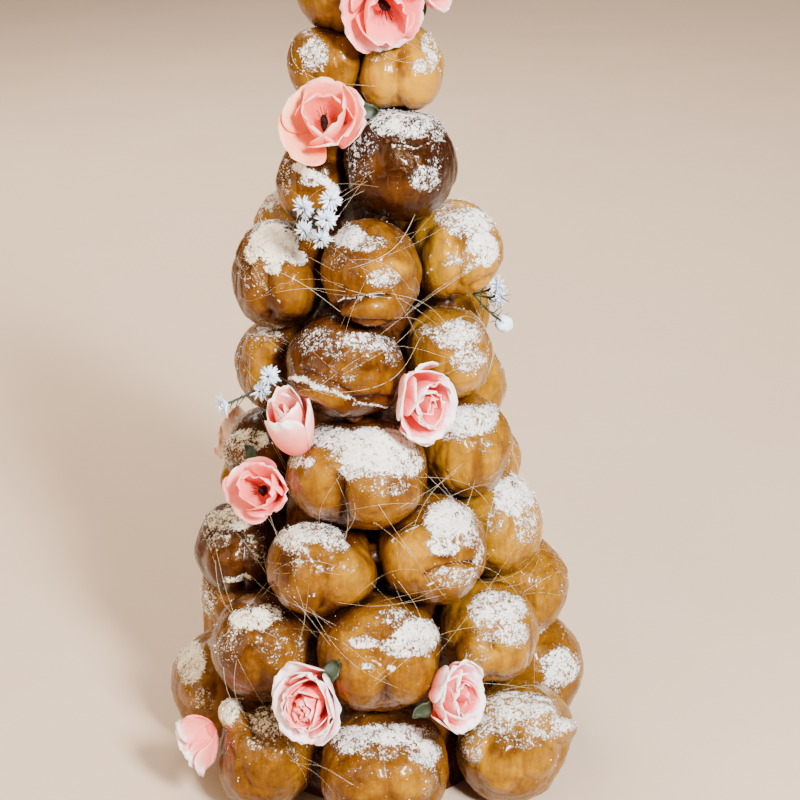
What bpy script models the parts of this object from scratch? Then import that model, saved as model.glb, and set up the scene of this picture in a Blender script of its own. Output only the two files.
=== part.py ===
"""A croquembouche: a cone of cream puffs held by caramel, with small paper flowers and white sprigs.

Blender 4.5. Metres, +Z up. The origin is the centre of the flat foot, and the front faces -Y.
Sizes in the tables are millimetres and degrees. Azimuth 0 is the front and 90 is +X.
"""

import math
import random
from collections import namedtuple

import bmesh
import bpy
from mathutils import Matrix, Vector

MM = 0.001
GAP = 0.3 * MM  # air between two pieces that touch
SHAPE_SEED = 11

# The core: a solid cone of caramel that the flat bases of the puffs sit on.
CORE_FOOT_RADIUS = 54 * MM
CORE_TIP_RADIUS = 3 * MM
CORE_HEIGHT = 300 * MM
CORE_SIDES = 24

# The puffs.
PUFF_SEGMENTS = 14
PUFF_RINGS = 8
PUFF_TILT = 14  # degrees that a dome looks up from level
PUFF_DEPTH = 0.92  # half depth of a dome over its mean half width
EDGE_ROUNDING = 1.2 * MM  # where a neighbour has flattened a puff
CREASE_WIDTH = 5 * MM
BUMP_COUNT = 5
BUMP_HEIGHT = 1.6 * MM
BUMP_SPREAD = 0.45

Crease = namedtuple("Crease", "slope offset depth")
Bump = namedtuple("Bump", "right up height")
Puff = namedtuple("Puff", "azimuth width height lift push creases bumps")
Tier = namedtuple("Tier", "rise ring seen hidden hidden_width")


def seen(azimuth, width, height, lift=0, push=0, creases=(), bumps=()):
    """One puff of a tier's front. Its lift and push are from the tier's rise and ring."""
    return Puff(azimuth, width, height, lift, push, creases, bumps)


# Each tier from the foot up: the puffs of its front from left to right, then how many
# puffs close the ring behind.
TIERS = (
    Tier(28, 69, (
        seen(-85, 46, 50, push=-2),
        seen(-40, 49, 51, bumps=(Bump(-12, 16, 3),)),
        seen(3, 53, 52, lift=3, push=1),
        seen(50, 51, 52, lift=-4, push=3, creases=(Crease(70, 13, 2),), bumps=(Bump(19, 6, 4), Bump(2, 19, 3))),
        seen(92, 46, 50, push=-1),
    ), 3, 54),
    Tier(75, 62, (
        seen(-86, 43, 46, push=-11),
        seen(-44, 46, 45, lift=-2, bumps=(Bump(-4, 15, 2),)),
        seen(3, 52, 50, lift=7, creases=(Crease(88, -1, 2),)),
        seen(49, 42, 45, lift=1, creases=(Crease(84, -8, 2),)),
        seen(88, 44, 46, lift=-2, push=-1),
    ), 3, 50),
    Tier(113, 54, (
        seen(-78, 42, 43, lift=-16, creases=(Crease(85, 9, 2),)),
        seen(-18, 46, 43, creases=(Crease(20, 9, 2),)),
        seen(26, 45, 47, lift=5, creases=(Crease(-20, 14, 2),)),
        seen(79, 44, 48, lift=-6, push=-4),
    ), 3, 48),
    Tier(150, 45, (
        seen(-82, 40, 40, lift=-10, push=-5),
        seen(-4, 58, 47, lift=1, creases=(Crease(84, -6, 3),)),
        seen(61, 40, 46, lift=-1, push=-3, creases=(Crease(15, 13, 2),)),
    ), 2, 51),
    Tier(186, 38, (
        seen(-80, 39, 42, lift=-8, push=-5),
        seen(-9, 47, 44, lift=4, creases=(Crease(-32, -5, 3),)),
        seen(61, 39, 41, lift=1, push=-2, creases=(Crease(80, 6, 2),)),
    ), 2, 47),
    Tier(222, 34, (
        seen(-63, 40, 45, lift=-3, creases=(Crease(60, -4, 2),)),
        seen(7, 40, 42, lift=5, creases=(Crease(6, -11, 2),)),
        seen(84, 40, 46, lift=-1, push=2, creases=(Crease(75, 8, 2),)),
    ), 2, 43),
    Tier(257, 20, (
        seen(-68, 36, 36, lift=-5, push=-4),
        seen(42, 44, 44, lift=4),
    ), 1, 41),
    Tier(294, 16, (
        seen(-52, 31, 32, lift=2, push=-4),
        seen(66, 38, 37, lift=-1, creases=(Crease(88, 1, 3),)),
    ), 1, 35),
    Tier(318, 2, (
        seen(-90, 37, 37),
    ), 0, 0),
)

# The flowers: where the rim's middle is, how wide and how tall over its width a flower is, which
# way it looks from straight out, and at what angle round it the leaf is.
PETALS = 5
FLOWER_SEGMENTS = 3 * PETALS
FLOWER_DEPTH = 0.5  # over its width
SCALLOP = 0.09
Flower = namedtuple("Flower", "name azimuth rise reach width tall turn lift leaf")
FLOWERS = (
    Flower("flower_top", 20, 318, 35, 27, 1.0, -8, 15, None),
    Flower("flower_top_right", 74, 329, 33, 27, 1.0, 0, 25, -135),
    Flower("flower_upper_left", -18, 285, 40, 29, 1.08, 10, 15, 0),
    Flower("flower_middle_right", 23, 183, 62, 29, 1.3, 10, 0, None),
    Flower("flower_middle_left", -29, 175, 62, 24.5, 1.3, -18, 5, None),
    Flower("flower_low_left", -38, 149, 70, 29, 0.78, 5, 15, 140),
    Flower("flower_side_left", -114, 132, 64, 26, 1.0, 0, 10, None),
    Flower("flower_foot_left", -16, 74, 91, 31, 1.2, -5, 10, 65),
    Flower("flower_foot_right", 23, 74, 91, 30, 1.15, 25, 5, 185),
    Flower("flower_base_left", -54, 31, 94, 28, 1.2, -22, -10, None),
    Flower("flower_back", 170, 132, 70, 28, 1.1, 0, 10, 60),
)
# The profile of a flower, from the stem's tip to its middle: radius over the flower's half
# width, height over its depth with the rim at 0, and the layer of petals that it is on.
FLOWER_PROFILE = (
    (0.16, -0.98, 0),
    (0.62, -0.72, 0),
    (0.94, -0.34, 0),
    (1.00, 0.00, 0),
    (0.84, -0.08, 0),
    (0.68, -0.42, 1),
    (0.66, 0.02, 1),
    (0.52, 0.00, 1),
    (0.36, -0.26, 2),
    (0.30, 0.06, 2),
)
LEAF_START = 0.55  # from the flower's middle, over its half width
LEAF_LENGTH = 10.5 * MM
LEAF_WIDTH = 6.5 * MM
LEAF_THICKNESS = 0.9 * MM
LEAF_WAVE = 1.2 * MM
LEAF_SEGMENTS = 3

# The sprigs of white florets.
Sprig = namedtuple("Sprig", "name azimuth rise reach florets")
Floret = namedtuple("Floret", "right up out")
FLORET_RADIUS = 4.1 * MM
STEM_RADIUS = 0.7 * MM
STEM_ROOT = -8  # millimetres behind the middle of a sprig
SPRIGS = (
    Sprig("sprig_upper_left", -19, 251, 46, (
        Floret(-5, 3, 1),
        Floret(6, 7, 1),
        Floret(5, 0, 3),
        Floret(-5, -6, 1),
        Floret(2, -8, 2),
    )),
    Sprig("sprig_right", 84, 205, 50, (
        Floret(-2, 5, 2),
        Floret(0, -1, 3),
        Floret(-3, -11, 4),
    )),
    Sprig("sprig_left", -42, 186, 55, (
        Floret(3, 4, 1),
        Floret(-1, -3, 2),
        Floret(-12, -9, 9),
    )),
)

# Plane = a normal and how far from a piece's middle it lies.
Plane = namedtuple("Plane", "normal distance")


def clear_scene():
    for obj in list(bpy.data.objects):
        bpy.data.objects.remove(obj, do_unlink=True)


def make_material(name, colour, roughness):
    material = bpy.data.materials.new(name)
    material.use_nodes = True
    shader = material.node_tree.nodes["Principled BSDF"]
    shader.inputs["Base Color"].default_value = (*colour, 1)
    shader.inputs["Roughness"].default_value = roughness
    shader.inputs["Metallic"].default_value = 0
    return material


def spot(azimuth, reach, rise):
    """The point of the tower at an azimuth in degrees, with a reach and a rise in millimetres."""
    angle = math.radians(azimuth)
    return Vector((reach * math.sin(angle), -reach * math.cos(angle), rise)) * MM


def placed(azimuth, reach, rise, turn=0, lift=0):
    """A frame on the tower: its X is to the right, its Y is up and its Z looks out."""
    heading = math.radians(azimuth + turn)
    pitch = math.radians(lift)
    level = Vector((math.sin(heading), -math.cos(heading), 0))
    out = level * math.cos(pitch) + Vector((0, 0, math.sin(pitch)))
    right = Vector((math.cos(heading), math.sin(heading), 0))
    up = out.cross(right)
    frame = Matrix((right, up, out)).transposed().to_4x4()
    frame.translation = spot(azimuth, reach, rise)
    return frame


def new_object(name, bm, frame, material, collection):
    mesh = bpy.data.meshes.new(name)
    bm.normal_update()
    bm.to_mesh(mesh)
    bm.free()
    mesh.materials.append(material)
    mesh.shade_smooth()
    mesh.set_sharp_from_angle(angle=math.radians(50))
    obj = bpy.data.objects.new(name, mesh)
    obj.matrix_world = frame
    collection.objects.link(obj)
    return obj


def unite(obj, helper):
    helper.hide_render = True
    helper.display_type = "WIRE"
    modifier = obj.modifiers.new("Join " + helper.name, "BOOLEAN")
    modifier.operation = "UNION"
    modifier.solver = "EXACT"
    modifier.object = helper


def points_of(*objects):
    return [obj.matrix_world @ vertex.co for obj in objects for vertex in obj.data.vertices]


def make_core(material, collection):
    bm = bmesh.new()
    bmesh.ops.create_cone(
        bm,
        cap_ends=True,
        segments=CORE_SIDES,
        radius1=CORE_FOOT_RADIUS,
        radius2=CORE_TIP_RADIUS,
        depth=CORE_HEIGHT,
        matrix=Matrix.Translation((0, 0, CORE_HEIGHT / 2)),
    )
    return new_object("caramel_core", bm, Matrix(), material, collection)


def core_plane(centre):
    """The face of the core that a puff's base lies on."""
    if centre.z > CORE_HEIGHT:
        return Plane(Vector((0, 0, -1)), centre.z - CORE_HEIGHT - GAP)
    slope = math.atan2(CORE_FOOT_RADIUS - CORE_TIP_RADIUS, CORE_HEIGHT)
    level = Vector((centre.x, centre.y, 0)).normalized()
    inward = -level * math.cos(slope) - Vector((0, 0, math.sin(slope)))
    face = level * CORE_FOOT_RADIUS
    return Plane(inward, (face - centre).dot(inward) - GAP)


def make_leaf(flower, material, collection):
    """A thin wavy leaf that starts under the petals."""
    bm = bmesh.new()
    bmesh.ops.create_cube(bm, size=1)
    lengthwise = [edge for edge in bm.edges if abs(edge.verts[0].co.x - edge.verts[1].co.x) > 0.5]
    bmesh.ops.subdivide_edges(bm, edges=lengthwise, cuts=LEAF_SEGMENTS - 1)
    start = LEAF_START * flower.width / 2 * MM
    for vertex in bm.verts:
        along = vertex.co.x + 0.5
        half_width = LEAF_WIDTH * (0.06 + 0.94 * math.sin(math.pi * along ** 0.8) ** 0.8)
        wave = LEAF_WAVE * math.sin(6 * along)
        vertex.co.z = vertex.co.z * LEAF_THICKNESS + wave - 0.3 * flower.width * FLOWER_DEPTH * MM
        vertex.co.y *= half_width
        vertex.co.x = start + along * LEAF_LENGTH
    bmesh.ops.triangulate(bm, faces=bm.faces)
    around = Matrix.Rotation(math.radians(flower.leaf), 4, "Z")
    frame = flower_frame(flower) @ around
    return new_object(flower.name + "_leaf", bm, frame, material, collection)


def flower_frame(flower):
    return placed(flower.azimuth, flower.reach, flower.rise, flower.turn, flower.lift)


def make_flower(flower, material, collection):
    """Cups of petals inside each other, as one turned body with scalloped rims."""
    bm = bmesh.new()
    rows = len(FLOWER_PROFILE)
    bmesh.ops.create_uvsphere(bm, u_segments=FLOWER_SEGMENTS, v_segments=rows + 1, radius=1)
    half_width = flower.width / 2 * MM
    depth = flower.width * FLOWER_DEPTH * MM
    for vertex in bm.verts:
        row = rows - round(math.acos(max(-1, min(1, vertex.co.z))) / math.pi * (rows + 1))
        if row < 0:
            vertex.co = (0, 0, -depth)
        elif row == rows:
            vertex.co = (0, 0, 0)
        else:
            radius, height, layer = FLOWER_PROFILE[row]
            angle = math.atan2(vertex.co.y, vertex.co.x)
            wave = math.cos(PETALS * angle + layer * math.pi)
            radius *= half_width * (1 - SCALLOP * (1 - wave))
            rise = depth * (height + SCALLOP * radius / half_width * wave)
            vertex.co = (radius * math.cos(angle), radius * math.sin(angle) * flower.tall, rise)
    return new_object(flower.name, bm, flower_frame(flower), material, collection)


def make_floret(sprig, number, material, collection):
    """A small round floret with ribs for its fringe."""
    bm = bmesh.new()
    bmesh.ops.create_uvsphere(bm, u_segments=8, v_segments=4, radius=FLORET_RADIUS)
    for vertex in bm.verts:
        step = round(math.atan2(vertex.co.y, vertex.co.x) / math.pi * 4)
        if step % 2:
            vertex.co *= 0.8
    offset = Vector(sprig.florets[number]) * MM
    frame = placed(sprig.azimuth, sprig.reach, sprig.rise) @ Matrix.Translation(offset)
    name = f"{sprig.name}_floret_{number + 1}"
    return new_object(name, bm, frame, material, collection)


def make_stem(sprig, number, material, collection):
    """A stem from the sprig's root into one floret."""
    root = Vector((0, 0, STEM_ROOT)) * MM
    tip = Vector(sprig.florets[number]) * MM
    bm = bmesh.new()
    bmesh.ops.create_cone(
        bm,
        cap_ends=True,
        segments=5,
        radius1=STEM_RADIUS * (1.2 + 0.15 * number),
        radius2=STEM_RADIUS,
        depth=(tip - root).length,
    )
    turned = (tip - root).to_track_quat("Z", "Y").to_matrix().to_4x4()
    middle = Matrix.Translation((root + tip) / 2)
    frame = placed(sprig.azimuth, sprig.reach, sprig.rise) @ middle @ turned
    name = f"{sprig.name}_stem_{number + 1}"
    return new_object(name, bm, frame, material, collection)


def make_sprig(sprig, material, collection, helpers):
    """The first stem is the node, and the rest joins it."""
    body = make_stem(sprig, 0, material, collection)
    body.name = sprig.name
    parts = [make_floret(sprig, 0, material, helpers)]
    for number in range(1, len(sprig.florets)):
        parts.append(make_stem(sprig, number, material, helpers))
        parts.append(make_floret(sprig, number, material, helpers))
    for part in parts:
        unite(body, part)
    return points_of(body, *parts)


def ring_of(tier, rng):
    """All puffs of a tier: its front, then the hidden ones evenly round the back."""
    puffs = list(tier.seen)
    first = tier.seen[0].azimuth + 360
    step = (first - tier.seen[-1].azimuth) / (tier.hidden + 1)
    for number in range(tier.hidden):
        azimuth = tier.seen[-1].azimuth + step * (number + 1) + rng.uniform(-2, 2)
        width = tier.hidden_width * rng.uniform(0.96, 1.04)
        height = tier.hidden_width * rng.uniform(0.92, 1.0)
        puffs.append(seen(azimuth, width, height, lift=rng.uniform(-3, 3)))
    return puffs


def dividing_planes(centre, size, others):
    """The faces where a puff presses on the puffs round it."""
    planes = []
    for other_centre, other_size in others:
        across = other_centre - centre
        distance = across.length
        if 0 < distance < 0.75 * (size + other_size):
            share = (distance ** 2 + (size ** 2 - other_size ** 2) / 4) / (2 * distance)
            planes.append(Plane(across / distance, share - GAP / 2))
    return planes


def clearing_plane(centre, points, out):
    """The face that keeps a puff off a flower or a sprig and cuts the least from it."""
    toward = (sum(points, Vector()) / len(points) - centre).normalized()
    best = None
    for share in range(5):
        normal = toward.lerp(out, share / 4).normalized()
        distance = min((point - centre).dot(normal) for point in points) - GAP
        if best is None or distance > best.distance:
            best = Plane(normal, distance)
    return best


def soft_least(first, second):
    """A rounded minimum that is never above either value."""
    low = min(first, second)
    return low - EDGE_ROUNDING * math.log1p(math.exp(-abs(first - second) / EDGE_ROUNDING))


def free_reach(direction, half, puff, bumps):
    """How far a puff goes from its middle in one direction, with nothing beside it."""
    reach = 1 / math.sqrt(sum((part / size) ** 2 for part, size in zip(direction, half)))
    for axis, height in bumps:
        reach += height * math.exp((direction.dot(axis) - 1) / BUMP_SPREAD ** 2)
    front = max(0, direction.z)
    for crease in puff.creases:
        slope = math.radians(crease.slope)
        across = reach * (direction.y * math.cos(slope) - direction.x * math.sin(slope))
        distance = (across + crease.offset * MM) / CREASE_WIDTH
        reach -= crease.depth * MM * math.sqrt(front) * math.exp(-distance ** 2)
    return reach


def bumps_of(puff, half, rng):
    """The lobes that the table names, then a few soft random ones."""
    bumps = []
    for bump in puff.bumps:
        flat = Vector((bump.right, bump.up, 0)) * MM
        depth = math.sqrt(max(0, half.z ** 2 - flat.length_squared))
        bumps.append(((flat + Vector((0, 0, depth))).normalized(), bump.height * MM))
    for _ in range(BUMP_COUNT):
        axis = Vector((rng.gauss(0, 1), rng.gauss(0, 1), rng.gauss(0, 1))).normalized()
        bumps.append((axis, rng.uniform(-1, 1) * BUMP_HEIGHT))
    return bumps


def make_puff(name, puff, frame, planes, rng, material, collection):
    half = Vector((puff.width, puff.height, PUFF_DEPTH * (puff.width + puff.height) / 2)) * MM / 2
    bumps = bumps_of(puff, half, rng)
    inverse = frame.to_3x3().transposed()
    local_planes = [Plane(inverse @ plane.normal, plane.distance) for plane in planes]
    bm = bmesh.new()
    bmesh.ops.create_uvsphere(bm, u_segments=PUFF_SEGMENTS, v_segments=PUFF_RINGS, radius=1)
    for vertex in bm.verts:
        direction = vertex.co.normalized()
        reach = free_reach(direction, half, puff, bumps)
        for plane in local_planes:
            facing = direction.dot(plane.normal)
            if facing > 0.05:
                reach = soft_least(reach, plane.distance / facing)
        vertex.co = direction * reach
    return new_object(name, bm, frame, material, collection)


def make_puffs(obstacles, material, collection):
    rng = random.Random(SHAPE_SEED)
    placements = []
    for number, tier in enumerate(TIERS, 1):
        for place, puff in enumerate(ring_of(tier, rng), 1):
            reach = tier.ring + puff.push
            frame = placed(puff.azimuth, reach, tier.rise + puff.lift, lift=PUFF_TILT)
            placements.append((f"puff_{number}_{place}", puff, frame))
    sizes = [(frame.translation, (puff.width + puff.height) / 2 * MM) for _, puff, frame in placements]
    for (name, puff, frame), (centre, size) in zip(placements, sizes):
        planes = dividing_planes(centre, size, sizes)
        planes.append(core_plane(centre))
        planes.append(Plane(Vector((0, 0, -1)), centre.z))
        out = frame.to_3x3() @ Vector((0, 0, 1))
        for points in obstacles:
            if min((point - centre).length for point in points) < size:
                planes.append(clearing_plane(centre, points, out))
        make_puff(name, puff, frame, planes, rng, material, collection)


def main():
    clear_scene()
    tower = bpy.data.collections.new("croquembouche")
    helpers = bpy.data.collections.new("joined_pieces")
    helpers.hide_render = True
    bpy.context.scene.collection.children.link(tower)
    bpy.context.scene.collection.children.link(helpers)
    choux = make_material("choux", (0.52, 0.26, 0.07), 0.35)
    caramel = make_material("caramel", (0.20, 0.07, 0.02), 0.3)
    petal = make_material("petal", (0.90, 0.50, 0.46), 0.6)
    white = make_material("floret", (0.82, 0.84, 0.86), 0.7)

    make_core(caramel, tower)
    obstacles = []
    for flower in FLOWERS:
        body = make_flower(flower, petal, tower)
        if flower.leaf is None:
            obstacles.append(points_of(body))
        else:
            leaf = make_leaf(flower, petal, helpers)
            unite(body, leaf)
            obstacles.append(points_of(body, leaf))
    for sprig in SPRIGS:
        obstacles.append(make_sprig(sprig, white, tower, helpers))
    make_puffs(obstacles, choux, tower)


main()
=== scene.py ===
"""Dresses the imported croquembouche: glazed puffs, icing sugar, spun sugar, paper roses and florets."""

import itertools
import math
from collections import namedtuple

import bpy
import numpy as np
from mathutils import Matrix, Vector
from mathutils.bvhtree import BVHTree


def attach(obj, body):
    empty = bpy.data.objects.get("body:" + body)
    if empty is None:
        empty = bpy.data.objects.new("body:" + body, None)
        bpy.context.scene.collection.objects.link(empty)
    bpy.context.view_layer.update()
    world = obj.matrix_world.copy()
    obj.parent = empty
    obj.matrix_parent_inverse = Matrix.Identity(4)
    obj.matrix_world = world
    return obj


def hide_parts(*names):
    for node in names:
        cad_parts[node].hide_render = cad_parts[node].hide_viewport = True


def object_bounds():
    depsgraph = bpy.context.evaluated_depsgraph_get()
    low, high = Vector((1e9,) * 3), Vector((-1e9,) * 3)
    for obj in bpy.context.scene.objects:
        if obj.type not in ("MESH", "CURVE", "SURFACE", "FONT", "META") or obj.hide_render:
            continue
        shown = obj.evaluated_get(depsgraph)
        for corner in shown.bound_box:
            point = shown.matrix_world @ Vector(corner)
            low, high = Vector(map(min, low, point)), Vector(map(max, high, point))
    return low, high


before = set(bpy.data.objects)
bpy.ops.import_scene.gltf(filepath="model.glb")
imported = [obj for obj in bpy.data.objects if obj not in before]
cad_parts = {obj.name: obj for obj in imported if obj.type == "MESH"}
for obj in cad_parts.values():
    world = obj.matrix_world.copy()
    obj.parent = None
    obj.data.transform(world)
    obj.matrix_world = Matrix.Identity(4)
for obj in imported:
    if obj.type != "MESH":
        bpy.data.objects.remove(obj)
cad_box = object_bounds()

MM = 0.001
SEED = 7

# The camera, as the photograph was taken.
CAMERA_PLACE = np.array([0.013, -0.5727, 0.4363])
CAMERA_PITCH = math.radians(25.9)
CAMERA_ROLL = math.radians(-1.1)
CAMERA_LENS = 72
CAMERA_SENSOR = 36
PICTURE = 800  # pixels across the picture, in which the places below are given
PIXELS_PER_SLOPE = PICTURE * CAMERA_LENS / CAMERA_SENSOR

# How fine a puff's mesh is on the side that the photograph shows, and behind.
FRONT_SEGMENTS = 108
FRONT_RINGS = 74
BACK_SEGMENTS = 64
BACK_RINGS = 44
DOME_END = math.radians(118)  # most of the rings lie nearer the dome's middle than this
DOME_SHARE = 0.84
DOME_TILT = math.radians(14)
ROUNDING = 0.2  # radians over which the CAD's facets are smoothed away

# What a puff shows in the photograph. Places are pixels in the picture, and tone is how dark it is
# baked, from 0 golden to 1 mahogany.
Face = namedtuple("Face", "tone lobes lines sugar streaks stains")
Lobe = namedtuple("Lobe", "x y half_width half_height swell")  # swell is in millimetres
Line = namedtuple("Line", "x y end_x end_y rise half_width")  # a groove or, above 0 mm, a roll
Patch = namedtuple("Patch", "x y half_width half_height cover")  # icing sugar, up to 1
Streak = namedtuple("Streak", "x y end_x end_y half_width cover")  # icing sugar along a line
# A darker or paler mark is partly the crust's own colour and partly painted shade and light, darker in
# grooves, valleys and towards the bottom.
Stain = namedtuple("Stain", "x y half_width half_height tone")  # a darker or, below 0, paler place


def face(tone, lobes=(), lines=(), sugar=(), streaks=(), stains=()):
    """A puff's Face, where each row of numbers is a Lobe, Line, Patch, Streak or a mark of stain and painted
    shading.
    """
    rows = ((Lobe, lobes), (Line, lines), (Patch, sugar), (Streak, streaks), (Stain, stains))
    return Face(tone, *(tuple(itertools.starmap(kind, numbers)) for kind, numbers in rows))


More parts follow.
